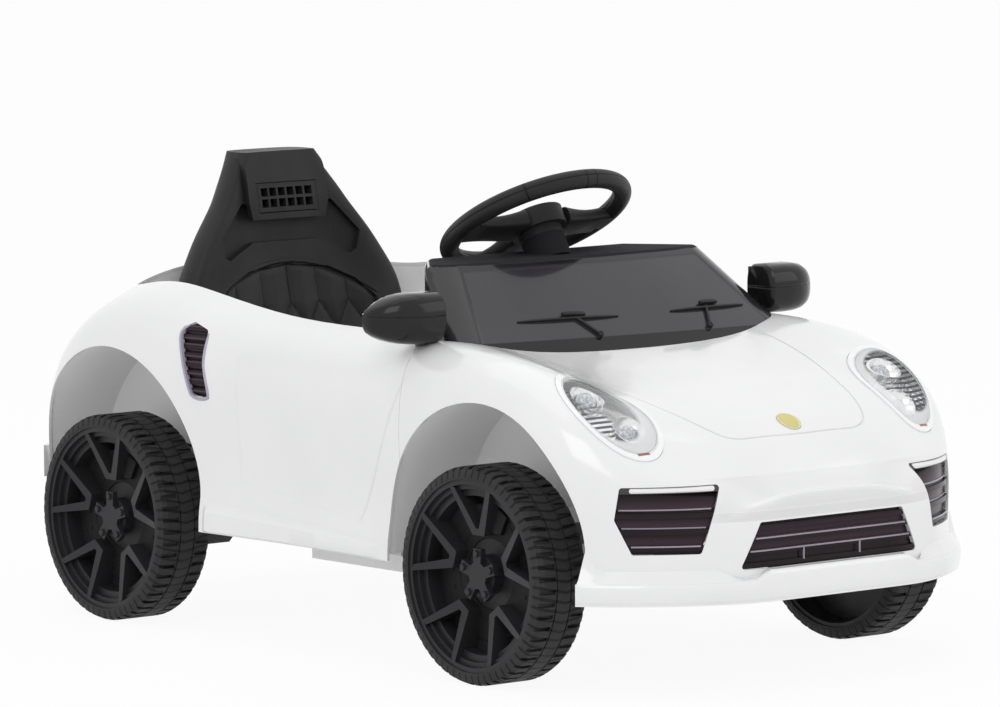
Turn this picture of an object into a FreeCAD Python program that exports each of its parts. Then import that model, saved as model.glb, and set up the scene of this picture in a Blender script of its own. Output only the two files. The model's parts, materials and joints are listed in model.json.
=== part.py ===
import FreeCAD, Part
import math
import os
import Sketcher
from FreeCAD import Placement, Rotation, Vector

# Electric ride-on car, millimetres. The nose points along -Y, +Z is up, the floor is z = 0,
# X = 0 is the middle plane and Y = 0 is the middle of the length. The car's right side is -X.

doc = FreeCAD.newDocument("ride_on_car")
sheet = doc.addObject("Spreadsheet::Sheet", "sizes")

sizes = (
    # whole car
    ("body_length", "1062"), ("body_width", "548"), ("body_height", "380"),
    ("front_overhang", "247"), ("wheelbase", "625"), ("wall", "3"),
    ("clearance", "0.3"), ("running_fit", "0.06"), ("overrun", "12"),
    # body shells
    ("front_low", "93"), ("sill_low", "111"), ("rear_low", "140"), ("sill_high", "26"),
    ("lip_out", "11"), ("lip_high", "22"), ("lip_step", "9"), ("lip_step_width", "220"),
    ("bumper_out", "6"), ("bumper_high", "34"),
    ("seam_back", "120"), ("seam_gap", "0.6"), ("groove_width", "1.6"), ("groove_depth", "1.2"),
    ("cockpit_front", "104"), ("cockpit_rear", "690"), ("cockpit_width", "408"), ("cockpit_corner", "72"),
    ("hood_front", "186"), ("hood_corner_half", "110"), ("hood_back_half", "162"),
    ("front_arch_radius", "142"), ("front_arch_height", "141"), ("front_arch_ahead", "2"),
    ("rear_arch_radius", "155"), ("rear_arch_height", "140"), ("rear_arch_ahead", "15"),
    # wheel wells
    ("well_wall", "2.5"), ("well_reveal", "1.5"), ("well_half", "156"), ("front_well_sill", "172"),
    ("rear_well_sill", "182"), ("well_foot", "118"),
    # lamps, grilles and vents in the body skin
    ("lamp_out", "191.5"), ("lamp_ahead", "120"), ("lamp_height", "277"), ("lamp_long", "139"),
    ("lamp_short", "78"),
    ("lamp_deep", "17"), ("lamp_wall", "2"), ("cover_proud", "1.5"), ("cover_deep", "1.2"),
    ("bulb_diameter", "36"), ("bulb_rise", "9"),
    ("fog_width", "107"), ("fog_height", "66"), ("fog_low", "143"), ("fog_inner_half", "137"),
    ("fog_ahead", "227"),
    ("strip_high", "6"), ("grille_low", "125"), ("grille_height", "46"), ("grille_width", "236"),
    ("grille_deep", "7"), ("grille_corner", "3"), ("grille_back", "2"), ("slat_high", "5"),
    ("slat_deep", "1.5"),
    ("vent_back", "440"), ("vent_long", "49"), ("vent_low", "253"), ("vent_height", "76"),
    ("badge_diameter", "26"), ("badge_high", "262"), ("badge_ahead", "173"), ("badge_proud", "1.2"),
    ("badge_deep", "1"),
    ("tail_lamp_width", "112"), ("tail_lamp_height", "34"), ("tail_lamp_low", "206"),
    ("tail_lamp_half", "82"),
    # windscreen cowl and dash
    ("screen_base_half", "222"), ("screen_base_front", "57"), ("screen_base_bow", "8"),
    ("screen_base_height", "322"),
    ("screen_top_half", "180"), ("screen_top_front", "148"), ("screen_top_bow", "10"),
    ("screen_top_height", "404"),
    ("screen_corner", "28"), ("screen_round", "9"), ("screen_wall", "3"), ("screen_rear", "232"),
    ("screen_drop", "35"), ("collar_radius", "23"), ("collar_gap", "23"), ("collar_long", "26"),
    ("screen_rear_half", "140"), ("dash_wall", "4"), ("dash_low", "296"), ("dash_shelf", "326"),
    # mirrors
    ("mirror_out", "258"), ("mirror_back", "124"), ("mirror_height", "358"), ("mirror_width", "78"),
    ("mirror_tall", "51"), ("mirror_deep", "58"), ("mirror_cut", "12"), ("mirror_rim", "4"),
    ("glass_thick", "2"),
    ("stalk_out", "231"), ("stalk_long", "34"), ("stalk_thick", "16"), ("stalk_foot", "321"),
    # seat
    ("seat_width", "300"), ("seat_top", "487"), ("seat_front", "600"), ("seat_thick", "34"),
    ("seat_lean", "50"),
    ("head_proud", "7"), ("wing_deep", "7"), ("quilt_deep", "4"),
    ("base_front", "345"), ("base_rear", "650"), ("base_low", "194"), ("base_high", "22"),
    ("base_round", "3"), ("seat_sink", "4"), ("vent_slot_wide", "9.5"), ("vent_slot_high", "9"),
    ("vent_slot_pitch", "12"),
    # wheels
    ("tyre_radius", "110"), ("tyre_width", "64"), ("tread_round", "7"), ("tread_deep", "3"),
    ("tread_notch", "4.4"),
    ("tread_notch_long", "21"), ("tread_line", "1.6"), ("rim_radius", "97"), ("rim_inset", "2"),
    ("rim_step", "5"),
    ("barrel_radius", "80"), ("barrel_wall", "4"), ("web_thick", "5"), ("web_inset", "30"),
    ("boss_radius", "20"),
    ("boss_inset", "17"), ("spoke_width", "7"), ("spoke_foot_radius", "40"), ("spoke_foot_width", "18"),
    ("spoke_dish", "11"), ("star_radius", "27"), ("star_arm", "10"), ("star_thick", "6"), ("lug_hole", "5"),
    ("front_track", "484"), ("rear_track", "472"), ("axle_diameter", "12"), ("axle_spare", "1"),
    # steering
    ("column_back", "221"), ("column_height", "437"), ("column_tilt", "30"), ("column_drop", "346"),
    ("column_diameter", "12"), ("crank_reach", "50"), ("crank_thick", "6"), ("crank_pin", "8"),
    ("crank_pin_long", "26"),
    ("ring_radius", "95"), ("ring_thick", "20"), ("hub_radius", "30"), ("hub_thick", "14"),
    ("hub_rise", "6"),
    ("wheel_spoke_width", "24"), ("wheel_spoke_thick", "10"),
    ("horn_diameter", "14"), ("horn_travel", "2"), ("horn_high", "4"), ("horn_spread", "26"),
    ("kingpin_half", "185"), ("kingpin_diameter", "12"), ("sleeve_low", "124"), ("sleeve_high", "34"),
    ("sleeve_wall", "5"), ("beam_deep", "16"), ("beam_high", "20"), ("hanger_width", "40"),
    ("hanger_half", "90"),
    ("steering_arm", "80"), ("arm_thick", "6"), ("arm_width", "18"), ("arm_drop", "8"), ("arm_pin", "8"),
    ("rod_thick", "5"), ("rod_width", "16"), ("rod_eye", "22"), ("slot_spare", "0.9"), ("slot_long", "20"),
    ("slot_ahead", "2"),
    # chassis pan
    ("pan_wall", "4"), ("front_deck", "182"), ("front_deck_half", "150"), ("front_deck_front", "150"),
    ("tub_front", "150"), ("tub_rear", "438"), ("tub_half", "240"), ("tub_low", "113"), ("tub_high", "80"),
    ("foot_low", "91"), ("foot_rear", "330"), ("foot_half", "214"),
    ("rear_deck", "176"), ("rear_deck_half", "142"), ("rear_deck_rear", "772"), ("skirt_low", "92"),
    ("skirt_long", "96"), ("skirt_ahead", "90"),
    # drive
    ("gearbox_wide", "44"), ("gearbox_long", "104"), ("gearbox_high", "62"), ("gearbox_round", "14"),
    ("motor_diameter", "36"), ("motor_long", "58"), ("motor_ahead", "58"), ("dog_radius", "26"),
    ("dog_thick", "5"),
    ("battery_long", "70"), ("battery_wide", "151"), ("battery_high", "65"),
    # pedal and switches
    ("pedal_half", "70"), ("pedal_width", "64"), ("pedal_long", "96"), ("pedal_thick", "6"),
    ("pedal_back", "262"),
    ("pedal_tilt", "24"), ("pedal_pin", "6"), ("pedal_ear", "6"), ("pedal_ear_high", "18"),
    ("switch_wide", "20"), ("switch_high", "14"), ("switch_deep", "10"), ("switch_proud", "4"),
    ("switch_height", "352"),
    ("power_half", "78"), ("direction_half", "112"), ("socket_diameter", "12"), ("socket_half", "125"),
    ("socket_height", "391"),
    ("switch_pin", "2"), ("switch_pin_out", "2"),
    ("jack_diameter", "5.6"),
)
for row, (alias, number) in enumerate(sizes, start=1):
    sheet.set(f"A{row}", alias)
    sheet.set(f"B{row}", number)
    sheet.setAlias(f"B{row}", alias)
doc.recompute()


# A size is a number together with the sheet expression that gives it.
class Size:
    def __init__(self, value, text):
        self.value = float(value)
        self.text = text

    def __float__(self):
        return self.value

    def mixed(self, other, sign, value):
        text = other.text if isinstance(other, Size) else repr(other)
        return Size(value, f"({self.text} {sign} {text})")

    def __add__(self, other):
        return self.mixed(other, "+", self.value + float(other))

    def __sub__(self, other):
        return self.mixed(other, "-", self.value - float(other))

    def __mul__(self, other):
        return self.mixed(other, "*", self.value * float(other))

    def __truediv__(self, other):
        return self.mixed(other, "/", self.value / float(other))

    def __rmul__(self, other):
        return self.mixed(other, "*", self.value * float(other))

    def __neg__(self):
        return Size(-self.value, f"(0 - {self.text})")


class Cells:
    def __getattr__(self, alias):
        return Size(sheet.get(alias), "sizes." + alias)


s = Cells()
nodes = []


# Registers an object as a sub-part and gives it its name.
def keep(item, label):
    item.Label = label
    nodes.append(item)
    return item


# A sub-part whose shape comes from surface and boolean work on plain shapes.
def feature(label, shape):
    item = doc.addObject("Part::Feature", label)
    item.Shape = shape
    item.Placement = Placement()
    return keep(item, label)


# A Part primitive with its sizes tied to the sheet.
def primitive(kind, name, at=Vector(), turn=Rotation(), **tied):
    item = doc.addObject("Part::" + kind, name)
    for prop, size in tied.items():
        item.setExpression(prop, size.text)
    item.Placement = Placement(at, turn)
    return item


def joined(name, *items):
    item = doc.addObject("Part::MultiFuse", name)
    item.Shapes = list(items)
    item.Refine = True
    return item


def carved(name, base, *tools):
    item = doc.addObject("Part::Cut", name)
    item.Base = base
    item.Tool = tools[0] if len(tools) == 1 else joined(name + "_tools", *tools)
    return item


def mirrored(source, label):
    item = doc.addObject("Part::Mirroring", label)
    item.Source = source
    item.Normal = Vector(1, 0, 0)
    return keep(item, label)


def plane(body, role):
    return next(item for item in body.Origin.OriginFeatures if item.Role == role)


def sketch_on(body, name, role, lift=None):
    sketch = body.newObject("Sketcher::SketchObject", name)
    sketch.AttachmentSupport = (plane(body, role), [""])
    sketch.MapMode = "FlatFace"
    if lift is not None:
        sketch.setExpression("AttachmentOffset.Base.z", lift.text)
    return sketch


def pin_down(sketch, edge, corner, spot):
    for kind, axis, size in (("DistanceX", -2, spot[0]), ("DistanceY", -1, spot[1])):
        if isinstance(size, Size):
            rule = sketch.addConstraint(Sketcher.Constraint(kind, -1, 1, edge, corner, float(size)))
            sketch.setExpression(f"Constraints[{rule}]", size.text)
        else:
            sketch.addConstraint(Sketcher.Constraint("PointOnObject", edge, corner, axis))


# A closed sketch of straight edges whose corners are tied to the sheet; a plain 0 puts a corner on an axis.
def outline(body, name, role, corners, lift=None):
    sketch = sketch_on(body, name, role, lift)
    spots = [Vector(x, y, 0) for x, y in corners]
    count = len(spots)
    for index in range(count):
        sketch.addGeometry(Part.LineSegment(spots[index], spots[(index + 1) % count]), False)
    for index in range(count):
        sketch.addConstraint(Sketcher.Constraint("Coincident", index, 2, (index + 1) % count, 1))
    for index, spot in enumerate(corners):
        pin_down(sketch, index, 1, spot)
    return sketch


# A sketch of circles, each (x, y, radius).
def circles(body, name, role, rounds, lift=None):
    sketch = sketch_on(body, name, role, lift)
    for index, (x, y, radius) in enumerate(rounds):
        sketch.addGeometry(Part.Circle(Vector(x, y, 0), Vector(0, 0, 1), float(radius)), False)
        pin_down(sketch, index, 3, (x, y))
        rule = sketch.addConstraint(Sketcher.Constraint("Radius", index, float(radius)))
        sketch.setExpression(f"Constraints[{rule}]", radius.text)
    return sketch


def padded(body, sketch, length, reverse=False, both=False):
    pad = body.newObject("PartDesign::Pad", sketch.Name + "_pad")
    pad.Profile = sketch
    pad.setExpression("Length", length.text)
    pad.Reversed = reverse
    pad.Midplane = both
    return pad


def pocketed(body, sketch, length, reverse=False, both=False):
    pocket = body.newObject("PartDesign::Pocket", sketch.Name + "_pocket")
    pocket.Profile = sketch
    pocket.setExpression("Length", length.text)
    pocket.Reversed = reverse
    pocket.Midplane = both
    return pocket


def turned(body, sketch, cut=False):
    kind = "Groove" if cut else "Revolution"
    turn = body.newObject("PartDesign::" + kind, sketch.Name + "_turn")
    turn.Profile = sketch
    turn.ReferenceAxis = (sketch, ["H_Axis"])
    turn.Angle = 360
    return turn


def repeated(body, source, count):
    pattern = body.newObject("PartDesign::PolarPattern", source.Name + "_pattern")
    pattern.Originals = [source]
    pattern.Axis = (next(item for item in body.Origin.OriginFeatures if item.Role == "X_Axis"), [""])
    pattern.Angle = 360
    pattern.Occurrences = count
    body.Tip = pattern
    return pattern


# Places along the car
nose_y = -s.body_length / 2
tail_y = s.body_length / 2
front_axle_y = nose_y + s.front_overhang
rear_axle_y = front_axle_y + s.wheelbase
half_width = s.body_width / 2
seam_y = front_axle_y + s.seam_back


# Body skin. Places are shares of the length from the nose, heights shares of the body height
# and widths shares of the half width.
centre_height_shares = (
    (0.012, 0.52), (0.022, 0.575), (0.045, 0.65), (0.065, 0.69), (0.085, 0.71), (0.12, 0.73), (0.17, 0.763),
    (0.24, 0.807), (0.30, 0.85), (0.36, 0.88), (0.50, 0.91), (0.65, 0.94), (0.78, 0.985), (0.84, 0.995),
    (0.89, 0.98), (0.93, 0.915), (0.955, 0.83), (0.975, 0.72), (0.988, 0.60), (0.996, 0.53))
crest_height_shares = (
    (0.012, 0.50), (0.022, 0.545), (0.045, 0.585), (0.07, 0.635), (0.10, 0.72), (0.135, 0.785),
    (0.175, 0.832),
    (0.23, 0.862), (0.29, 0.872), (0.34, 0.870), (0.46, 0.866), (0.54, 0.864), (0.61, 0.879), (0.70, 0.915),
    (0.76, 0.938), (0.81, 0.928), (0.87, 0.882), (0.92, 0.79), (0.945, 0.70), (0.965, 0.605), (0.985, 0.50),
    (0.996, 0.45))
crest_width_shares = (
    (0.012, 0.30), (0.03, 0.46), (0.06, 0.62), (0.10, 0.70), (0.17, 0.765), (0.23, 0.785), (0.34, 0.81),
    (0.45, 0.79), (0.60, 0.785), (0.75, 0.785), (0.84, 0.76), (0.92, 0.70), (0.97, 0.58), (0.996, 0.48))
side_width_shares = (
    (0.10, 0.955), (0.13, 0.97), (0.23, 0.99), (0.30, 0.985), (0.38, 0.965), (0.50, 0.95), (0.60, 0.96),
    (0.68, 0.98), (0.76, 1.0), (0.82, 1.0), (0.90, 0.97))
door_inset_shares = (
    (0.0, 0.0), (0.33, 0.0), (0.36, 0.03), (0.50, 0.034), (0.64, 0.03), (0.67, 0.0), (1.0, 0.0))
station_shares = (
    0.0, 0.0, 0.004, 0.010, 0.020, 0.034, 0.052, 0.073, 0.097, 0.127, 0.162, 0.203, 0.25, 0.297, 0.343,
    0.40, 0.46,
    0.52, 0.58, 0.64, 0.70, 0.755, 0.80, 0.845, 0.885, 0.92, 0.945, 0.965, 0.98, 0.99, 0.996, 1.0, 1.0)
nose_round_share, nose_flat_share, nose_power = 0.125, 0.36, 1.45
tail_round_share, tail_flat_share, tail_power = 0.10, 0.58, 1.6
nose_cap_share, tail_cap_share, cap_narrow_share = 0.49, 0.44, 0.82
skirt_share = 0.1
crest_limit_share, valley_share, bulge_share, nose_bulge_share, edge_share = 0.87, 0.28, 0.02, 0.17, 0.80
top_shares, side_shares = (0.42, 0.78), (0.06, 0.36, 0.68, 0.06, 0.02)


# A smooth curve through pairs that never swings past them.
def smooth(pairs):
    places, values = zip(*pairs)
    last = len(places) - 1
    slopes = [(values[i + 1] - values[i]) / (places[i + 1] - places[i]) for i in range(last)]
    leans = [slopes[0]]
    for before, after in zip(slopes, slopes[1:]):
        leans.append(0 if before * after <= 0 else 2 * before * after / (before + after))
    leans.append(slopes[-1])

    def value(place):
        if place <= places[0]:
            return values[0]
        if place >= places[-1]:
            return values[-1]
        i = max(k for k in range(last) if places[k] <= place)
        step = places[i + 1] - places[i]
        t = (place - places[i]) / step
        return ((1 + 2 * t) * (1 - t) ** 2 * values[i] + t * (1 - t) ** 2 * step * leans[i]
                + t * t * (3 - 2 * t) * values[i + 1] + t * t * (t - 1) * step * leans[i + 1])
    return value


centre_height = smooth(centre_height_shares)
crest_height = smooth(crest_height_shares)
crest_width = smooth(crest_width_shares)
side_width = smooth(side_width_shares)
door_inset = smooth(door_inset_shares)


# Half width in plan: the sides, drawn in round the nose and the tail.
def plan_width(place):
    wide = side_width(place)
    if place < nose_round_share:
        t = 1 - place / nose_round_share
        full = side_width(nose_round_share) - nose_flat_share
        wide = nose_flat_share + full * (1 - t ** nose_power) ** (1 / nose_power)
    if place > 1 - tail_round_share:
        t = 1 - (1 - place) / tail_round_share
        full = side_width(1 - tail_round_share) - tail_flat_share
        wide = tail_flat_share + full * (1 - t ** tail_power) ** (1 / tail_power)
    return wide


# One half section of the body skin, from the middle of the top out and down to the skirt.
def section(place, capped):
    height = float(s.body_height)
    wide = plan_width(place) * float(half_width)
    crest_x = min(crest_width(place) * float(half_width), crest_limit_share * wide)
    top = centre_height(place) * height
    crest = crest_height(place) * height
    if capped:
        wide, crest_x = wide * cap_narrow_share, crest_x * cap_narrow_share
        top = crest = (nose_cap_share if place == 0.0 else tail_cap_share) * height
    valley = top + valley_share * (crest - top)
    bulge = bulge_share * height * max(0, min(1, place / nose_bulge_share, (1 - place) / tail_round_share))
    low = float(s.sill_low)
    ledge = low + float(s.sill_high)
    door = wide * (1 - door_inset(place))
    side = crest - ledge
    flat_x, valley_x = [share * crest_x for share in top_shares]
    edge, shoulder, waist, toe, heel = [share * side for share in side_shares]
    return ((0, top), (flat_x, top), (valley_x, valley), (crest_x, crest + bulge),
            (crest_x + edge_share * (wide - crest_x), crest - edge), (wide, crest - shoulder),
            (door, crest - waist), (door, ledge + toe), (wide, ledge - heel), (wide, low),
            (wide, skirt_share * height))


def skin_net():
    start = float(nose_y + s.lip_out)
    long = float(tail_y - s.bumper_out) - start
    net = []
    last = len(station_shares) - 1
    for index, place in enumerate(station_shares):
        half = section(place, index in (0, last))
        row = [Vector(-x, start + place * long, z) for x, z in reversed(half)]
        row += [Vector(x, start + place * long, z) for x, z in half[1:]]
        net.append(row)
    return net


def knots(count):
    spans = count - 3
    return [float(i) for i in range(spans + 1)], [4] + [1] * (spans - 1) + [4]


def surface_of(net):
    along, along_times = knots(len(net))
    across, across_times = knots(len(net[0]))
    surface = Part.BSplineSurface()
    surface.buildFromPolesMultsKnots(net, along_times, across_times, along, across, False, False, 3, 3)
    return surface


# The knot averages at which each control point acts most.
def greville(count):
    spans = count - 3
    full = [0.0] * 4 + [float(i) for i in range(1, spans)] + [float(spans)] * 4
    return [sum(full[i + 1:i + 4]) / 3 for i in range(count)]


body_net = skin_net()
body_surface = surface_of(body_net)
cores = {}


# A closed solid whose skin lies the given depth inside the body skin, or outside where it is negative.
def core(depth):
    depth = float(depth)
    if depth not in cores:
        places, across = greville(len(body_net)), greville(len(body_net[0]))
        net = []
        for u, row in zip(places, body_net):
            net.append([])
            for v, pole in zip(across, row):
                out = body_surface.normal(u, v)
                inward = out * (-1 if out.dot(Vector(pole.x, pole.y, pole.z)) > 0 else 1)
                net[-1].append(pole + inward * depth)
        skin = surface_of(net).toShape()
        nose, tail, right, left = sorted(skin.Edges, key=lambda edge: edge.BoundBox.YLength)
        faces = [skin]
        ends = []
        for edge in (nose, tail):
            ends.append(Part.makeLine(edge.Vertexes[0].Point, edge.Vertexes[-1].Point))
            faces.append(Part.Face(Part.Wire(Part.__sortEdges__([edge, ends[-1]]))))
        faces.append(Part.Face(Part.Wire(Part.__sortEdges__([right, left] + ends))))
        shell = Part.Shell(faces)
        shell.sewShape()
        solid = Part.Solid(shell)
        if solid.Volume < 0:
            solid.reverse()
        cores[depth] = solid
    return cores[depth]


# The piece of a shape that lies between two depths under the skin.
def skinned(shape, outer_depth, inner_depth):
    return shape.common(core(outer_depth)).cut(core(inner_depth))


# A box from its least and greatest corners.
def box(x0, x1, y0, y1, z0, z1):
    low = Vector(x0, y0, z0)
    return Part.makeBox(float(x1) - low.x, float(y1) - low.y, float(z1) - low.z, low)


# A prism from a plane outline.
def prism(points, along):
    return Part.Face(Part.makePolygon([*points, points[0]])).extrude(along)


# A prism whose long edges are rounded, as moulded openings are.
def soft_prism(points, along, radius):
    solid = prism(points, along)

    def lengthwise(edge):
        return edge.tangentAt(edge.FirstParameter).cross(along).Length < float(s.clearance)

    return solid.makeFillet(float(radius), [edge for edge in solid.Edges if lengthwise(edge)])


def both_sides(shape):
    return [shape, shape.mirror(Vector(), Vector(1, 0, 0))]


# Outline of a wheel arch, in the plane at x, from its radius, centre and foot.
def arch_face(x, y, z, radius, foot):
    radius, y, z, foot = float(radius), float(y), float(z), float(foot)
    rear, top, front = Vector(x, y + radius, z), Vector(x, y, z + radius), Vector(x, y - radius, z)
    edges = [Part.Arc(rear, top, front).toShape(), Part.makeLine(front, Vector(x, y - radius, foot)),
             Part.makeLine(Vector(x, y - radius, foot), Vector(x, y + radius, foot)),
             Part.makeLine(Vector(x, y + radius, foot), rear)]
    return Part.Face(Part.Wire(edges))


front_arch = (front_axle_y - s.front_arch_ahead, s.front_arch_height, s.front_arch_radius)
rear_arch = (rear_axle_y - s.rear_arch_ahead, s.rear_arch_height, s.rear_arch_radius)


def arch_cut(arch):
    face = arch_face(s.well_half, *arch, -s.overrun)
    return face.extrude(Vector(half_width + s.overrun - s.well_half, 0, 0))


# The cockpit opening seen from above: straight in front, with a round end behind the seat.
def cockpit_cut():
    half, corner = float(s.cockpit_width / 2), float(s.cockpit_corner)
    front, rear = float(front_axle_y + s.cockpit_front), float(front_axle_y + s.cockpit_rear)
    slant = corner * math.sqrt(0.5)
    base = float(s.sill_low)
    spots = [Vector(half, rear - corner, base), Vector(half - corner + slant, rear - corner + slant, base),
             Vector(half - corner, rear, base)]
    left = Part.Arc(*spots).toShape()
    right = Part.Arc(*[Vector(-p.x, p.y, p.z) for p in reversed(spots)]).toShape()
    edges = [left, Part.makeLine(spots[2], Vector(-spots[2].x, rear, base)), right,
             Part.makeLine(Vector(-half, rear - corner, base), Vector(-half, front, base)),
             Part.makeLine(Vector(-half, front, base), Vector(half, front, base)),
             Part.makeLine(Vector(half, front, base), spots[0])]
    return Part.Face(Part.Wire(edges)).extrude(Vector(0, 0, s.body_height))


lamp_lean_shares = (0.18, -0.58, 0.79)
lamp_run_shares = (0.18, 0.82, 0.54)


# The headlamp's oval as a bar square to the fender, grown by the given amount all round.
def lamp_bar(grow, side):
    out = Vector(*lamp_lean_shares).normalize()
    run = Vector(*lamp_run_shares)
    run = (run - out * run.dot(out)).normalize()
    centre = Vector(s.lamp_out, front_axle_y - s.lamp_ahead, s.lamp_height)
    long, short = float(s.lamp_long / 2 + grow), float(s.lamp_short / 2 + grow)
    oval = Part.Ellipse(centre + run * long, centre + out.cross(run) * short, centre)
    reach = float(s.lamp_short)
    bar = Part.Face(Part.Wire(oval.toShape())).extrude(out * (2 * reach))
    bar.translate(out * -reach)
    return bar if side > 0 else bar.mirror(Vector(), Vector(1, 0, 0))


fog_outline_shares = ((0.0, 1.0), (0.20, 0.0), (0.84, 0.0), (1.0, 0.52), (0.95, 1.0))
vent_outline_shares = (
    (0.0, 0.0), (0.55, 0.02), (1.04, 0.78), (1.02, 0.93), (0.78, 1.0), (0.30, 0.91), (0.21, 0.80),
    (0.19, 0.45))
grille_outline_shares = ((-0.5, 0.0), (0.5, 0.0), (0.40, 1.0), (-0.40, 1.0))
fog_lean_shares = (0.54, -0.84, 0.0)
tail_lamp_shares = ((0.0, 0.0), (1.0, 0.24), (1.0, 0.95), (0.55, 1.0), (0.0, 0.8))


# An outline of shares as points in the plane of a start, a run along it and a rise.
def spread(shares, start, run, rise):
    return [start + run * a + rise * b for a, b in shares]


# Shrinks or grows an outline toward its middle by a set distance at the widest place.
def grown(points, grow):
    middle = sum(points, Vector()) * (1 / len(points))
    reach = max((p - middle).Length for p in points)
    return [middle + (p - middle) * (1 + float(grow) / reach) for p in points]


def fog_bar(grow):
    out = Vector(*fog_lean_shares).normalize()
    run = Vector(0, 0, 1).cross(out)
    start = Vector(s.fog_inner_half, front_axle_y - s.fog_ahead, s.fog_low)
    rise = Vector(0, 0, s.fog_height)
    points = spread(fog_outline_shares, start, run * float(s.fog_width), rise)
    reach = out * float(s.fog_width / 2)
    return soft_prism([p - reach for p in grown(points, grow)], reach * 2, s.grille_corner + grow)


def grille_bar(grow):
    start = Vector(0, nose_y - s.overrun, s.grille_low)
    points = spread(grille_outline_shares, start, Vector(s.grille_width, 0, 0),
                    Vector(0, 0, s.grille_height))
    return soft_prism(grown(points, grow), Vector(0, s.front_overhang / 2, 0), s.grille_corner + grow)


def vent_bar(grow):
    start = Vector(half_width / 2, front_axle_y + s.vent_back, s.vent_low)
    points = spread(vent_outline_shares, start, Vector(0, s.vent_long, 0), Vector(0, 0, s.vent_height))
    return soft_prism(grown(points, grow), Vector(half_width, 0, 0), s.grille_corner + grow)


def tail_lamp_bar(grow):
    start = Vector(s.tail_lamp_half, rear_axle_y, s.tail_lamp_low)
    points = spread(tail_lamp_shares, start, Vector(s.tail_lamp_width, 0, 0),
                    Vector(0, 0, s.tail_lamp_height))
    return prism(grown(points, grow), Vector(0, s.front_overhang, 0))


badge_lean_shares = (0.0, -0.40, 0.92)


# A round bar square to the hood at the badge.
def badge_bar(grow):
    out = Vector(*badge_lean_shares).normalize()
    reach = float(s.badge_diameter)
    start = Vector(0, front_axle_y - s.badge_ahead, s.badge_high) - out * reach
    return Part.makeCylinder(float(s.badge_diameter / 2 + grow), 2 * reach, start, out)


# Points of the hood's edge from the windscreen forward: a share of the half width there, a share of the
# hood's
# length from its front, and whether the point lies on the front corner.
hood_edge_shares = ((-1.0, 1.0, 0), (-0.93, 0.68, 0), (-0.80, 0.34, 0), (-1.0, 0.13, 1), (-0.84, 0.035, 1),
                    (-0.5, 0.005, 1), (0.0, 0.0, 1))


# The hood's edge seen from above, as a narrow upright ring.
def hood_groove():
    front = float(front_axle_y - s.hood_front)
    back = float(front_axle_y + s.screen_base_front)
    corner, rear = float(s.hood_corner_half), float(s.hood_back_half)
    step = float(s.groove_width)
    base = float(s.sill_low)

    def edge(out):
        spots = [Vector(x * ((corner if ahead else rear) + out),
                        front + place * (back - front) - out * ahead, base)
                 for x, place, ahead in hood_edge_shares]
        spots += [Vector(-p.x, p.y, p.z) for p in reversed(spots[:-1])]
        curve = Part.BSplineCurve()
        curve.interpolate(spots)
        return curve.toShape()

    inner, outer = edge(0.0), edge(step)
    ends = [Part.makeLine(inner.Vertexes[i].Point, outer.Vertexes[i].Point) for i in (0, -1)]
    ring = Part.Face(Part.Wire(Part.__sortEdges__([inner, outer] + ends)))
    return skinned(ring.extrude(Vector(0, 0, s.body_height)), -s.clearance, s.groove_depth)


def lip_band():
    front_end = front_arch[0] - front_arch[2]
    low = box(-half_width, half_width, nose_y - s.overrun, front_end, s.front_low, s.front_low + s.lip_high)
    step_half = s.lip_step_width / 2
    top = s.front_low + s.lip_high
    step = prism([Vector(-step_half, nose_y - s.overrun, top), Vector(step_half, nose_y - s.overrun, top),
                  Vector(step_half - s.lip_step * 2, nose_y - s.overrun, top + s.lip_step),
                  Vector(-step_half + s.lip_step * 2, nose_y - s.overrun, top + s.lip_step)],
                 Vector(0, s.front_overhang / 4, 0))
    return skinned(low.fuse(step), -s.lip_out, s.wall)


def bumper_band():
    rear_end = rear_arch[0] + rear_arch[2]
    reach = half_width + s.bumper_out
    band = box(-reach, reach, rear_end, tail_y + s.overrun, s.rear_low, s.rear_low + s.bumper_high)
    return skinned(band, -s.bumper_out, s.wall)


def body_shells():
    hull = core(0).cut(core(s.wall)).fuse([lip_band(), bumper_band()])
    reach = half_width + s.lip_out + s.overrun
    start, end = nose_y - s.overrun, tail_y + s.overrun
    cuts = [box(-reach, reach, start, front_arch[0], -s.overrun, s.front_low),
            box(-reach, reach, front_arch[0], rear_arch[0], -s.overrun, s.sill_low),
            box(-reach, reach, rear_arch[0], end, -s.overrun, s.rear_low), cockpit_cut()]
    for arch in (front_arch, rear_arch):
        cuts += both_sides(arch_cut(arch))
    for bar in (lamp_bar(s.clearance, 1), fog_bar(s.clearance), vent_bar(s.clearance),
                tail_lamp_bar(s.clearance)):
        cuts += both_sides(bar)
    cuts += [grille_bar(s.clearance), skinned(badge_bar(s.clearance), -s.badge_proud, s.badge_deep)]
    cuts.append(hood_groove())
    for cut in cuts:
        hull = hull.cut(cut)
    gap = s.seam_gap / 2
    front = hull.common(box(-reach, reach, start, seam_y - gap, -s.overrun, s.body_height * 2))
    rear = hull.common(box(-reach, reach, seam_y + gap, end, -s.overrun, s.body_height * 2))
    feature("front_body", max(front.Solids, key=lambda solid: solid.Volume))
    feature("rear_body", max(rear.Solids, key=lambda solid: solid.Volume))


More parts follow.
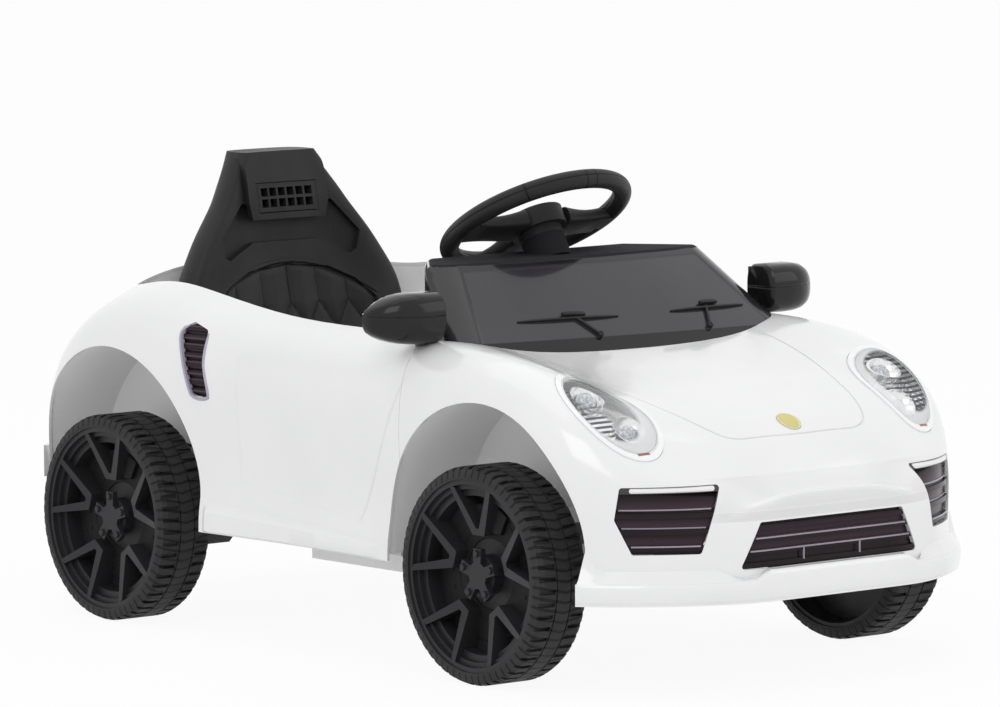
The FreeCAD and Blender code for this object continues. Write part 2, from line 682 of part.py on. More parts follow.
def body_inserts():
    seat = s.cover_deep + s.clearance
    cover = skinned(lamp_bar(0, 1), -s.cover_proud, s.cover_deep)
    cup = skinned(lamp_bar(-s.lamp_wall, 1), seat, s.lamp_deep)
    cup = cup.cut(skinned(lamp_bar(-s.lamp_wall * 2, 1), 0, s.lamp_deep - s.lamp_wall))
    cup = cup.fuse(skinned(lamp_bowls(), seat + s.lamp_wall, s.lamp_deep - s.lamp_wall))
    fog_high = s.fog_height - s.strip_high
    fog = slatted(fog_bar(0), fog_slat_shares, s.fog_low, fog_high - s.clearance)
    strip_floor = s.fog_low + fog_high
    strip = fog_bar(0).common(box(0, half_width, nose_y, front_axle_y, strip_floor,
                                  strip_floor + s.fog_height))
    strip = skinned(strip, 0, s.grille_deep)
    vent = slatted(vent_bar(0), vent_slat_shares, s.vent_low, s.vent_height)
    lamp = skinned(tail_lamp_bar(0), -s.cover_proud, s.wall)
    for name, shape in (("headlamp_cover", cover), ("headlamp_reflector", cup), ("fog_grille", fog),
                        ("light_strip", strip), ("side_vent", vent), ("tail_lamp", lamp)):
        left, right = both_sides(shape)
        feature(f"{name}_right", right)
        feature(f"{name}_left", left)
    feature("centre_grille", slatted(grille_bar(0), grille_slat_shares, s.grille_low, s.grille_height))
    feature("hood_badge", skinned(badge_bar(0), -s.badge_proud, s.badge_deep - s.clearance))


fog_slat_shares = (0.10, 0.37, 0.64)
grille_slat_shares = (0.08, 0.36, 0.64, 0.88)
vent_slat_shares = (0.08, 0.20, 0.32, 0.44, 0.56, 0.68, 0.80, 0.92)


# A grille set into the skin: a back plate under it with level slats standing forward.
def slatted(bar, slat_shares, low, high):
    def band(bottom, top):
        return box(-half_width, half_width, nose_y, tail_y, bottom, top)

    back = s.grille_deep - s.grille_back
    plate = skinned(bar.common(band(low - s.overrun, low + high)), back, s.grille_deep)
    slats = []
    for share in slat_shares:
        middle = low + high * share
        blade = bar.common(band(middle - s.slat_high / 2, middle + s.slat_high / 2))
        slats.append(skinned(blade, s.slat_deep, back))
    return plate.fuse(slats)


lamp_bowl_shares = ((-0.19, 0.06), (0.21, -0.04))


# Two round lamps inside a headlamp, each a ring with a hollow face.
def lamp_bowls():
    out = Vector(*lamp_lean_shares).normalize()
    run = Vector(*lamp_run_shares)
    run = (run - out * run.dot(out)).normalize()
    centre = Vector(s.lamp_out, front_axle_y - s.lamp_ahead, s.lamp_height)
    reach, radius = float(s.lamp_deep + s.bulb_rise), float(s.bulb_diameter / 2)
    bowls = []
    for along, across in lamp_bowl_shares:
        foot = centre + run * float(s.lamp_long * along) + out.cross(run) * float(s.lamp_short * across)
        drum = Part.makeCylinder(radius, 2 * reach, foot - out * reach, out)
        dish = Part.makeSphere(radius, foot + out * float(s.bulb_rise / 2))
        bowls.append(drum.cut(dish))
    return bowls[0].fuse(bowls[1])


# Wheel wells: an arched liner behind each arch with an inner wall above the axle.
def wheel_wells():
    grow = s.well_reveal
    for end, arch, sill in (("front", front_arch, s.front_well_sill),
                            ("rear", rear_arch, s.rear_well_sill)):
        y, z, radius = arch
        outer = arch_face(s.well_half, y, z, radius + grow + s.well_wall, s.well_foot)
        outer = outer.extrude(Vector(half_width - s.well_half, 0, 0))
        hollow = arch_face(s.well_half + s.well_wall, y, z, radius + grow, s.well_foot - s.overrun)
        hollow = hollow.extrude(Vector(half_width, 0, 0))
        under = box(0, s.well_half + s.well_wall, y - radius * 2, y + radius * 2, 0, sill)
        liner = outer.cut(hollow).cut(under).common(core(s.wall + s.clearance))
        left, right = both_sides(max(liner.Solids, key=lambda solid: solid.Volume))
        feature(f"wheel_well_{end}_right", right)
        feature(f"wheel_well_{end}_left", left)


column_tilt = float(s.column_tilt)
column_turn = Rotation(Vector(1, 0, 0), -column_tilt)
column_axis = column_turn.multVec(Vector(0, 0, 1))
column_top = Vector(0, front_axle_y + s.column_back, s.column_height)


# A round bar along the steering column between two distances below its top.
def column_bar(radius, upper, lower):
    foot = column_top - column_axis * float(lower)
    return Part.makeCylinder(float(radius), float(lower) - float(upper), foot, column_axis)


# The windscreen cowl's outline at a height: sides that draw in behind, round corners and a bowed front.
def cowl_wire(height, inset):
    t = float(height - s.screen_base_height) / float(s.screen_top_height - s.screen_base_height)

    def between(base, top):
        return float(base) + t * (float(top) - float(base))

    inset = float(inset)
    corner = float(s.screen_corner)
    half = between(s.screen_base_half, s.screen_top_half) - inset
    front = float(front_axle_y) + between(s.screen_base_front, s.screen_top_front) + inset
    bow = between(s.screen_base_bow, s.screen_top_bow)
    rear = float(front_axle_y + s.screen_rear)
    back_half = float(s.screen_rear_half) - inset
    side, cheek = front + bow + corner, corner * (1 - math.sqrt(0.5))
    height = float(height)

    def spot(x, y):
        return Vector(x, y, height)

    edges = [Part.makeLine(spot(-back_half, rear), spot(-half, side)),
             Part.Arc(spot(-half, side), spot(cheek - half, side - corner + cheek),
                      spot(corner - half, side - corner)).toShape(),
             Part.Arc(spot(corner - half, side - corner), spot(0, front),
                      spot(half - corner, side - corner)).toShape(),
             Part.Arc(spot(half - corner, side - corner), spot(half - cheek, side - corner + cheek),
                      spot(half, side)).toShape(),
             Part.makeLine(spot(half, side), spot(back_half, rear)),
             Part.makeLine(spot(back_half, rear), spot(-back_half, rear))]
    return Part.Wire(edges)


def cowl_solid(inset, low, high):
    return Part.makeLoft([cowl_wire(low, inset), cowl_wire(high, inset)], True, True)


def windscreen_and_dash():
    low = s.screen_base_height - s.screen_drop
    top = s.screen_top_height
    outer = cowl_solid(0, low, top)
    rim = [edge for edge in outer.Edges if edge.BoundBox.ZMin > float(top - s.clearance)
           and edge.BoundBox.YMin < float(front_axle_y + s.screen_rear - s.clearance)]
    outer = outer.makeFillet(float(s.screen_round), rim)
    collar = column_bar(s.collar_radius, s.collar_gap, s.collar_gap + s.collar_long)
    cowl = outer.fuse(collar).cut(cowl_solid(s.screen_wall, low - s.overrun, top - s.screen_wall))
    cowl = cowl.cut(column_bar(s.column_diameter / 2 + s.clearance, 0, s.column_drop))
    cowl = cowl.cut(core(-s.clearance))
    room = s.screen_wall + s.clearance
    rear = front_axle_y + s.screen_rear
    half = s.cockpit_width / 2 - s.clearance
    shelf_front = front_axle_y + s.cockpit_front + s.clearance
    cowl = cowl.cut(box(-half_width, half_width, shelf_front - s.clearance * 2, rear + s.overrun,
                        low - s.overrun, s.dash_shelf + s.clearance))
    feature("windscreen", max(cowl.Solids, key=lambda solid: solid.Volume))
    dash = cowl_solid(room, s.dash_low, top - room)
    dash = dash.common(box(-half, half, rear - s.dash_wall, rear, s.dash_low, top))
    apron = box(-half, half, rear - s.dash_wall, rear, s.dash_low, s.dash_shelf)
    shelf = box(-half, half, shelf_front, rear, s.dash_shelf - s.dash_wall, s.dash_shelf)
    dash = dash.fuse([apron, shelf.cut(column_bar(s.collar_radius, 0, s.column_drop))])
    holes = []
    for across in (s.power_half, s.direction_half):
        holes.append(box(-across - s.switch_wide / 2 - s.clearance,
                         -across + s.switch_wide / 2 + s.clearance,
                         rear - s.overrun, rear + s.overrun,
                         s.switch_height - s.switch_high / 2 - s.clearance,
                         s.switch_height + s.switch_high / 2 + s.clearance))
        reach = s.switch_wide / 2 + s.switch_pin_out + s.clearance
        holes.append(Part.makeCylinder(float(s.switch_pin / 2 + s.running_fit), float(reach * 2),
                                       Vector(-across - reach, rear - s.dash_wall / 2, s.switch_height),
                                       Vector(1, 0, 0)))
    holes.append(Part.makeCylinder(float(s.socket_diameter / 2 + s.running_fit), float(s.overrun * 2),
                                   Vector(s.socket_half, rear - s.overrun, s.socket_height),
                                   Vector(0, 1, 0)))
    for hole in holes:
        dash = dash.cut(hole)
    feature("dash_panel", dash)


# Heights as shares of the seat back's height, then half width, front face and bolster depth.
seat_shares = (
    (0.0, 0.97, 0.0, 0.5), (0.16, 0.98, 0.28, 0.55), (0.31, 0.98, 0.58, 0.6), (0.475, 0.97, 0.82, 0.62),
    (0.568, 0.867, 0.90, 0.6), (0.679, 0.744, 0.96, 0.5), (0.789, 0.576, 1.0, 0.35),
    (0.845, 0.52, 1.05, 0.28),
    (0.937, 0.40, 1.18, 0.2), (1.0, 0.33, 1.29, 0.15))
# Points round one level of the seat back: across, how far the bolster carries it forward, and depth.
seat_ring_shares = (
    (0.0, 0.0, 1.04), (-0.4, 0.0, 1.04), (-0.9, 0.0, 1.0), (-1.04, 0.4, 0.5), (-1.0, 1.0, 0.0),
    (-0.72, 0.5, 0.0),
    (-0.4, 0.0, 0.0), (0.4, 0.0, 0.0), (0.72, 0.5, 0.0), (1.0, 1.0, 0.0), (1.04, 0.4, 0.5), (0.9, 0.0, 1.0),
    (0.4, 0.0, 1.04), (0.0, 0.0, 1.04))
seat_vent_share, slot_deep_share = 0.82, 0.6
seat_foot = s.base_low + s.base_high - s.seat_sink + s.clearance


def seat_solid():
    half, thick, lean = float(s.seat_width / 2), float(s.seat_thick), float(s.seat_lean)
    foot, tall = float(seat_foot), float(s.seat_top - seat_foot)
    net = []
    for up, wide, back, bolster in seat_shares:
        front = float(front_axle_y + s.seat_front) + back * lean
        net.append([Vector(x * wide * half, front - wing * bolster * thick + deep * thick, foot + up * tall)
                    for x, wing, deep in seat_ring_shares])
    skin = surface_of(net).toShape()
    rims = [edge for edge in skin.Edges if edge.BoundBox.ZLength < float(s.clearance)]
    shell = Part.Shell([skin] + [Part.Face(Part.Wire(edge)) for edge in rims])
    shell.sewShape()
    solid = Part.Solid(shell)
    if solid.Volume < 0:
        solid.reverse()
    return solid


# Outlines on the seat's front, across as shares of its half width and up as shares of its height.
head_shares = ((-0.33, 0.735), (0.33, 0.735), (0.36, 0.80), (0.36, 1.1), (-0.36, 1.1), (-0.36, 0.80))
wing_shares = (
    (-0.33, 0.80), (-0.41, 0.80), (-0.63, 0.67), (-0.60, 0.595), (-0.55, 0.58), (-0.30, 0.645),
    (0.30, 0.645),
    (0.55, 0.58), (0.60, 0.595), (0.63, 0.67), (0.41, 0.80), (0.33, 0.80))
quilt_shares = (
    (-0.78, 0.02), (0.78, 0.02), (0.78, 0.30), (0.72, 0.40), (0.58, 0.48), (0.36, 0.535), (0.0, 0.555),
    (-0.36, 0.535), (-0.58, 0.48), (-0.72, 0.40), (-0.78, 0.30))


# A bar through the seat in the shape of an outline on its front.
def seat_bar(shares):
    half, tall = s.seat_width / 2, s.seat_top - seat_foot
    start = front_axle_y + s.seat_front - s.overrun * 3
    points = [Vector(half * across, start, seat_foot + tall * up) for across, up in shares]
    return prism(points, Vector(0, s.seat_lean * 3, 0))


# The skin of the seat's front within an outline, from its face to the given depth.
def seat_face(solid, shares, depth):
    behind = solid.copy()
    behind.translate(Vector(0, depth, 0))
    return solid.common(seat_bar(shares)).cut(behind)


# Seat back: level sections with forward bolsters, lofted up to the headrest. A headrest block stands proud
# with
# vent pockets in it, and a winged panel and a quilted arch lie lower.
def seat_back():
    solid = seat_solid()
    head = solid.copy()
    head.translate(Vector(0, -s.head_proud, 0))
    head = head.common(seat_bar(head_shares)).common(box(-half_width, half_width, nose_y, tail_y, 0,
                                                         s.seat_top))
    back = solid.fuse(head)
    for outline_shares, depth in ((wing_shares, s.wing_deep), (quilt_shares, s.quilt_deep)):
        back = back.cut(seat_face(solid, outline_shares, depth))
    pitch = float(s.vent_slot_pitch)
    wide, high = float(s.vent_slot_wide), float(s.vent_slot_high)
    start = float(front_axle_y + s.seat_front)
    deep = float(s.seat_lean + s.seat_thick * slot_deep_share)
    middle = float(seat_foot + (s.seat_top - seat_foot) * seat_vent_share)
    slots = []
    for column in range(-3, 3):
        for tier in (-1, 0):
            x, z = (column + 0.5) * pitch - wide / 2, middle + (tier + 0.5) * pitch - high / 2
            slots.append(Part.makeBox(wide, deep, high, Vector(x, start, z)))
    feature("seat_back", max(back.cut(slots).Solids, key=lambda solid: solid.Volume))


# Seat base: a hollow moulding whose front skirt stands in the tub and whose rear edge rests on the rear
# deck. The seat back stands in a step of it.
def seat_base():
    body = doc.addObject("PartDesign::Body", "seat_base_body")
    front, rear = front_axle_y + s.base_front, front_axle_y + s.base_rear
    width = (s.well_half - s.clearance) * 2
    top = s.base_low + s.base_high
    floor = s.tub_low + s.pan_wall + s.clearance
    rest = s.rear_deck + s.clearance
    wall = s.pan_wall
    bevel = s.base_round
    heel = front_axle_y + s.seat_front - s.seat_thick * seat_shares[0][3] - s.clearance
    step = top - s.seat_sink
    ceiling = ((rear - wall, step - wall), (heel - wall, step - wall), (heel - wall, top - wall),
               (front + wall, top - wall))
    corners = ((front, floor), (front, top - bevel), (front + bevel, top), (heel, top), (heel, step),
               (rear, step), (rear, rest), (rear - wall, rest), *ceiling, (front + wall, floor))
    padded(body, outline(body, "base_profile", "YZ_Plane", corners), width, both=True)
    for index, side in enumerate((-width / 2, width / 2 - wall)):
        cheek = ((front + wall, s.base_low), (rear - wall, s.base_low), *ceiling)
        padded(body, outline(body, f"base_cheek{index}", "YZ_Plane", cheek, lift=side), wall)
    keep(body, "seat_base")


# Mirror sections from front to back: place along its depth and share of its full width and height.
mirror_shares = ((0.0, 0.22), (0.05, 0.48), (0.16, 0.72), (0.34, 0.89), (0.60, 0.98), (1.0, 1.0))
mirror_ring_shares = ((1.06, 0.0), (0.92, 0.72), (0.45, 1.02), (-0.45, 1.06), (-0.95, 0.80), (-1.06, 0.0),
                      (-0.92, -0.72), (-0.45, -1.02), (0.45, -1.02), (0.90, -0.72))


# A rounded pod from the mirror's front to the given distance behind it, drawn in all round by an inset.
def mirror_pod(inset, start, end):
    deep = float(s.mirror_deep)
    half, tall = float(s.mirror_width / 2), float(s.mirror_tall / 2)
    swell = smooth(mirror_shares)
    wires = []
    for place in sorted({start, end, *[share for share, size in mirror_shares if start < share < end]}):
        wide = swell(place) * half - inset
        high = swell(place) * tall - inset
        middle = Vector(s.mirror_out, front_axle_y + s.mirror_back - s.mirror_deep / 2, s.mirror_height)
        spots = [middle + Vector(x * wide, place * deep, z * high) for x, z in mirror_ring_shares]
        curve = Part.BSplineCurve()
        curve.buildFromPoles(spots, True, 3)
        wires.append(Part.Wire(curve.toShape()))
    return Part.makeLoft(wires, True)


# Door mirrors: a pod on a short stalk, with a glass let into its rear face.
def mirrors():
    deep = s.mirror_deep
    end = float((deep - s.mirror_cut) / deep)
    recess = end - float(s.glass_thick / deep)
    y = front_axle_y + s.mirror_back
    half = s.stalk_thick / 2
    stalk = box(s.stalk_out - half, s.stalk_out + half, y - half, y + half, s.stalk_foot,
                s.stalk_foot + s.stalk_long)
    housing = mirror_pod(0, 0.0, end).fuse(stalk).cut(core(-s.clearance))
    housing = max(housing.Solids, key=lambda solid: solid.Volume)
    housing = housing.cut(mirror_pod(float(s.mirror_rim), recess, 1.0))
    glass = mirror_pod(float(s.mirror_rim + s.clearance), recess + float(s.clearance / deep), end)
    for name, shape in (("mirror_housing", housing), ("mirror_glass", glass)):
        left, right = both_sides(shape)
        feature(f"{name}_right", right)
        feature(f"{name}_left", left)


arm_side_share, arm_up_share = math.sin(math.radians(18)), math.cos(math.radians(18))


def tyre_body(label):
    body = doc.addObject("PartDesign::Body", label + "_body")
    half, radius, round_off = s.tyre_width / 2, s.tyre_radius, s.tread_round
    line, depth, place = s.tread_line / 2, s.tread_line, s.tyre_width / 7
    bore = s.rim_radius + s.running_fit
    right = [(half, bore), (half, radius - round_off * 1.3), (half - round_off * 0.3,
                                                              radius - round_off * 0.3),
             (half - round_off, radius), (place + line, radius), (place + line, radius - depth),
             (place - line, radius - depth), (place - line, radius)]
    left = [(-x, y) for x, y in reversed(right)]
    turned(body, outline(body, label + "_profile", "XY_Plane", right + left))
    for index, lift in enumerate((half, -half)):
        edge = s.tread_notch / 2
        notch = ((-edge, radius - s.tread_deep), (edge, radius - s.tread_deep), (edge, radius + s.overrun),
                 (-edge, radius + s.overrun))
        sketch = outline(body, f"{label}_notch{index}", "YZ_Plane", notch, lift=lift)
        repeated(body, pocketed(body, sketch, s.tread_notch_long * 2, both=True), tread_count)
    return body


tread_count, spoke_count = 54, 5


def rim_body(label):
    body = doc.addObject("PartDesign::Body", label + "_body")
    half = s.tyre_width / 2
    face, rim, step = half - s.rim_inset, s.rim_radius, s.rim_step
    bore = s.axle_diameter / 2 + s.running_fit
    web, boss = half - s.web_inset, half - s.boss_inset
    back = web - s.web_thick
    thin = rim - s.barrel_wall
    corners = ((-face, rim), (face, rim), (face, rim - step), (face - step, rim - step),
               (face - step, rim - step * 2),
               (face - step * 2, rim - step * 2), (face - step * 2, s.barrel_radius),
               (web, s.barrel_radius),
               (web, s.boss_radius), (boss, s.boss_radius), (boss, bore), (back, bore), (back, thin),
               (-face, thin))
    turned(body, outline(body, label + "_profile", "XY_Plane", corners))
    foot, width = s.spoke_foot_radius, s.spoke_width
    end = rim - step
    side, up, lean = end * arm_side_share, end * arm_up_share, width / 2
    spoke = ((-s.spoke_foot_width / 2, foot), (-side - lean, up), (-side + lean, up),
             (-s.spoke_foot_width / 2 + width, foot + width),
             (s.spoke_foot_width / 2 - width, foot + width), (side - lean, up), (side + lean, up),
             (s.spoke_foot_width / 2, foot))
    sketch = outline(body, label + "_spoke", "YZ_Plane", spoke, lift=web)
    repeated(body, padded(body, sketch, s.web_inset - s.rim_inset), spoke_count)
    dish = ((face, end), (face - s.spoke_dish, foot), (face - s.spoke_dish, s.boss_radius + s.clearance),
            (half, s.boss_radius + s.clearance), (half, end))
    body.Tip = turned(body, outline(body, label + "_dish", "XY_Plane", dish), cut=True)
    return body


def hub_cap_body(label):
    body = doc.addObject("PartDesign::Body", label + "_body")
    foot = s.tyre_width / 2 - s.boss_inset + s.clearance
    padded(body, circles(body, label + "_disc", "YZ_Plane", ((0, 0, s.star_radius / 2),), lift=foot),
           s.star_thick)
    half = s.star_arm / 2
    arm = ((-half, -half), (half, -half), (half * 1.2, s.star_radius), (-half * 1.2, s.star_radius))
    repeated(body, padded(body, outline(body, label + "_arm", "YZ_Plane", arm, lift=foot), s.star_thick),
             spoke_count)
    hole = circles(body, label + "_lug", "YZ_Plane", ((0, s.star_radius - s.lug_hole, s.lug_hole / 2),),
                   lift=foot)
    repeated(body, pocketed(body, hole, s.star_thick * 3, both=True), spoke_count)
    return body


# Four wheels, each with a tyre, a rim and a hub cap on its own axle end.
def wheels():
    for end, y, track in (("front", front_axle_y, s.front_track), ("rear", rear_axle_y, s.rear_track)):
        for side, name in ((-1, "right"), (1, "left")):
            turn = Rotation(Vector(0, 0, 1), 0 if side > 0 else 180)
            spot = Placement(Vector(track * side / 2, y, s.tyre_radius), turn)
            for kind, maker in (("tyre", tyre_body), ("rim", rim_body), ("hub_cap", hub_cap_body)):
                label = f"{kind}_{end}_{name}"
                body = keep(maker(label), label)
                body.Placement = spot


def on_column(x, y, z):
    return column_top + column_turn.multVec(Vector(x, y, z))


# The steering wheel, its hub with two buttons, and the shaft with the crank at its foot.
def steering_wheel():
    ring = primitive("Torus", "wheel_ring", on_column(0, 0, 0), column_turn, Radius1=s.ring_radius,
                     Radius2=s.ring_thick / 2)
    spokes = []
    width, thick = s.wheel_spoke_width, s.wheel_spoke_thick
    for index, angle in enumerate((0, 90, 180)):
        turn = column_turn.multiply(Rotation(Vector(0, 0, 1), angle))
        start = column_top + turn.multVec(Vector(s.hub_radius + s.clearance, -width / 2, -thick))
        spokes.append(primitive("Box", f"wheel_spoke{index}", start, turn, Width=width, Height=thick,
                                Length=s.ring_radius - s.hub_radius - s.clearance))
    keep(joined("wheel_solid", ring, *spokes), "steering_wheel")
    hub = primitive("Cylinder", "hub_disc", on_column(0, 0, -s.hub_thick), column_turn, Radius=s.hub_radius,
                    Height=s.hub_thick + s.hub_rise)
    neck = primitive("Cylinder", "hub_neck", on_column(0, 0, -s.collar_gap + s.clearance), column_turn,
                     Radius=s.collar_radius, Height=s.collar_gap - s.hub_thick)
    bore = primitive("Cylinder", "hub_bore", on_column(0, 0, -s.collar_gap), column_turn,
                     Radius=s.column_diameter / 2 + s.running_fit, Height=s.collar_gap)
    wells = []
    for index, side in enumerate((-1, 1)):
        at = on_column(s.horn_spread * side / 2, 0, s.hub_rise - s.horn_high - s.horn_travel)
        wells.append(primitive("Cylinder", f"horn_well{index}", at, column_turn,
                               Radius=s.horn_diameter / 2 + s.clearance,
                               Height=s.horn_high + s.horn_travel + s.overrun))
    keep(carved("hub_solid", joined("hub_blank", hub, neck), bore, *wells), "steering_hub")
    for side, label in ((-1, "music_button"), (1, "horn_button")):
        at = on_column(s.horn_spread * side / 2, 0, s.hub_rise - s.horn_high + s.clearance)
        keep(primitive("Cylinder", label + "_cap", at, column_turn, Radius=s.horn_diameter / 2,
                       Height=s.horn_high + s.horn_travel), label)
    shaft = primitive("Cylinder", "shaft_bar", on_column(0, 0, -s.column_drop), column_turn,
                      Radius=s.column_diameter / 2,
                      Height=s.column_drop - s.clearance)
    crank_end = on_column(0, 0, -s.column_drop)
    web = primitive("Box", "crank_web", on_column(-s.column_diameter, 0, -s.column_drop), column_turn,
                    Length=s.column_diameter * 2, Width=s.crank_reach, Height=s.crank_thick)
    eye = primitive("Cylinder", "crank_eye", on_column(0, s.crank_reach, -s.column_drop), column_turn,
                    Radius=s.column_diameter, Height=s.crank_thick)
    heel = primitive("Cylinder", "crank_heel", crank_end, column_turn, Radius=s.column_diameter,
                     Height=s.crank_thick)
    pin = primitive("Cylinder", "crank_pin_bar", on_column(0, s.crank_reach,
                                                           -s.column_drop - s.crank_pin_long), column_turn,
                    Radius=s.crank_pin / 2, Height=s.crank_pin_long + s.crank_thick)
    keep(joined("shaft_solid", shaft, web, eye, heel, pin), "steering_shaft")


# Front axle: a beam with a kingpin sleeve at each end, hung under the front deck.
def front_axle():
    bore = s.kingpin_diameter / 2 + s.running_fit
    sleeve_radius = bore + s.sleeve_wall
    middle = s.sleeve_low + s.sleeve_high / 2
    half = s.kingpin_half
    bar = primitive("Box", "beam_bar", Vector(-half, front_axle_y - s.beam_deep / 2,
                                              middle - s.beam_high / 2),
                    Length=half * 2, Width=s.beam_deep, Height=s.beam_high)
    solids, bores = [bar], []
    for index, side in enumerate((-1, 1)):
        foot = Vector(half * side, front_axle_y, s.sleeve_low)
        solids.append(primitive("Cylinder", f"beam_sleeve{index}", foot, Radius=sleeve_radius,
                                Height=s.sleeve_high))
        bores.append(primitive("Cylinder", f"beam_bore{index}", foot - Vector(0, 0, s.overrun),
                               Radius=bore, Height=s.sleeve_high + s.overrun * 2))
        top = middle + s.beam_high / 2
        corner = Vector(s.hanger_half * side - s.hanger_width / 2, front_axle_y - s.beam_deep / 2, top)
        solids.append(primitive("Box", f"beam_hanger{index}", corner, Length=s.hanger_width,
                                Width=s.beam_deep,
                                Height=s.front_deck - s.pan_wall - top))
    keep(carved("beam_solid", joined("beam_blank", *solids), *bores), "front_axle_beam")


# Knuckle: kingpin, stub axle and a steering arm that points to the rear.
def knuckles():
    low = s.tyre_radius - s.arm_drop - s.arm_thick
    radius = s.kingpin_diameter / 2
    at = Vector(s.kingpin_half, front_axle_y, low)
    top = s.sleeve_low + s.sleeve_high + s.clearance
    pin = primitive("Cylinder", "knuckle_pin", at, Radius=radius, Height=top + s.arm_thick - low)
    cap = primitive("Cylinder", "knuckle_cap", Vector(s.kingpin_half, front_axle_y, top),
                    Radius=radius + s.sleeve_wall, Height=s.arm_thick)
    block = primitive("Cylinder", "knuckle_block", at, Radius=radius + s.sleeve_wall,
                      Height=s.sleeve_low - s.clearance - low)
    end = s.front_track / 2 + s.tyre_width / 2 - s.boss_inset - s.axle_spare
    stub = primitive("Cylinder", "knuckle_stub", Vector(s.kingpin_half, front_axle_y, s.tyre_radius),
                     Rotation(Vector(0, 1, 0), 90),
                     Radius=s.axle_diameter / 2, Height=end - s.kingpin_half)
    arm = primitive("Box", "knuckle_arm", at - Vector(s.arm_width / 2, 0, 0), Length=s.arm_width,
                    Width=s.steering_arm, Height=s.arm_thick)
    eye = primitive("Cylinder", "knuckle_eye", at + Vector(0, s.steering_arm, 0), Radius=s.arm_width / 2,
                    Height=s.arm_thick)
    drop = s.rod_thick + s.clearance + s.arm_thick / 2
    peg = primitive("Cylinder", "knuckle_peg", at + Vector(0, s.steering_arm, -drop), Radius=s.arm_pin / 2,
                    Height=drop + s.arm_thick)
    left = keep(joined("knuckle_solid", pin, cap, block, stub, arm, eye, peg), "knuckle_left")
    mirrored(left, "knuckle_right")


# Tie rod: a flat bar between the steering arms, with a slot in the middle for the crank pin.
def tie_rod():
    top = s.tyre_radius - s.arm_drop - s.arm_thick - s.clearance
    y = front_axle_y + s.steering_arm
    low = top - s.rod_thick
    bar = primitive("Box", "rod_bar", Vector(-s.kingpin_half, y - s.rod_width / 2, low),
                    Length=s.kingpin_half * 2,
                    Width=s.rod_width, Height=s.rod_thick)
    solids, holes = [bar], []
    for index, side in enumerate((-1, 1)):
        at = Vector(s.kingpin_half * side, y, low)
        solids.append(primitive("Cylinder", f"rod_eye{index}", at, Radius=s.rod_eye / 2,
                                Height=s.rod_thick))
        holes.append(primitive("Cylinder", f"rod_hole{index}", at - Vector(0, 0, s.overrun),
                               Radius=s.arm_pin / 2 + s.running_fit, Height=s.overrun * 2 + s.rod_thick))
    pad_long = s.slot_long + s.rod_width
    slot_y = y - s.slot_ahead
    solids.append(primitive("Box", "rod_pad", Vector(-s.rod_eye, slot_y - pad_long / 2, low),
                            Length=s.rod_eye * 2,
                            Width=pad_long, Height=s.rod_thick))
    wide = s.crank_pin + s.slot_spare * 2
    holes.append(primitive("Box", "rod_slot", Vector(-wide / 2, slot_y - s.slot_long / 2, low - s.overrun),
                           Length=wide,
                           Width=s.slot_long, Height=s.overrun * 2 + s.rod_thick))
    keep(carved("rod_solid", joined("rod_blank", *solids), *holes), "tie_rod")


# Chassis pan: a tub with a deeper footwell, a flange to the sills, a front deck and a rear deck with axle
# skirts.
def chassis_pan():
    body = doc.addObject("PartDesign::Body", "pan_body")
    wall = s.pan_wall
    front, rear, half = front_axle_y + s.tub_front, front_axle_y + s.tub_rear, s.tub_half

    def slab(name, x0, x1, y0, y1, z, high):
        corners = ((x0, y0), (x1, y0), (x1, y1), (x0, y1))
        return padded(body, outline(body, name, "XY_Plane", corners, lift=z), high)

    def well(name, x0, x1, y0, y1, z, high):
        corners = ((x0, y0), (x1, y0), (x1, y1), (x0, y1))
        return pocketed(body, outline(body, name, "XY_Plane", corners, lift=z), high, reverse=True)

    slab("tub", -half, half, front, rear, s.tub_low, s.tub_high)
    foot_rear = front_axle_y + s.foot_rear
    slab("footwell", -s.foot_half, s.foot_half, front, foot_rear, s.foot_low, s.tub_low - s.foot_low + wall)
    flange_low = s.tub_low + s.tub_high - wall
    slab("flange", -half_width, half_width, front, rear, flange_low, wall)
    deck_front = front_axle_y - s.front_deck_front
    slab("front_deck_plate", -s.front_deck_half, s.front_deck_half, deck_front, front + wall,
         s.front_deck - wall, wall)
    deck_rear = front_axle_y + s.rear_deck_rear
    slab("rear_deck_plate", -s.rear_deck_half, s.rear_deck_half, rear - wall, deck_rear,
         s.rear_deck - wall, wall)
    skirt_half = s.skirt_long / 2
    for index, side in enumerate((-s.rear_deck_half, s.rear_deck_half - wall)):
        slab(f"skirt{index}", side, side + wall, rear_axle_y - s.skirt_ahead, rear_axle_y + skirt_half,
             s.skirt_low,
             s.rear_deck - s.skirt_low - wall)
    well("tub_well", -half + wall, half - wall, front + wall, rear - wall, s.tub_low + wall,
         s.tub_high + s.overrun)
    well("foot_room", -s.foot_half + wall, s.foot_half - wall, front + wall, foot_rear - wall,
         s.foot_low + wall,
         s.tub_low)
    axle = circles(body, "axle_hole", "YZ_Plane", ((rear_axle_y, s.tyre_radius,
                                                    s.axle_diameter / 2 + s.running_fit),))
    pocketed(body, axle, s.rear_track, both=True)
    skin = doc.addObject("Part::Feature", "pan_skin")
    skin.Shape = core(s.wall + s.clearance)
    inside = doc.addObject("Part::Common", "pan_inside")
    inside.Base, inside.Tool = body, skin
    hole = doc.addObject("Part::Feature", "pan_column_hole")
    hole.Shape = column_bar(s.column_diameter / 2 + s.clearance, s.collar_gap, s.column_drop)
    keep(carved("pan_solid", inside, hole), "chassis_pan")


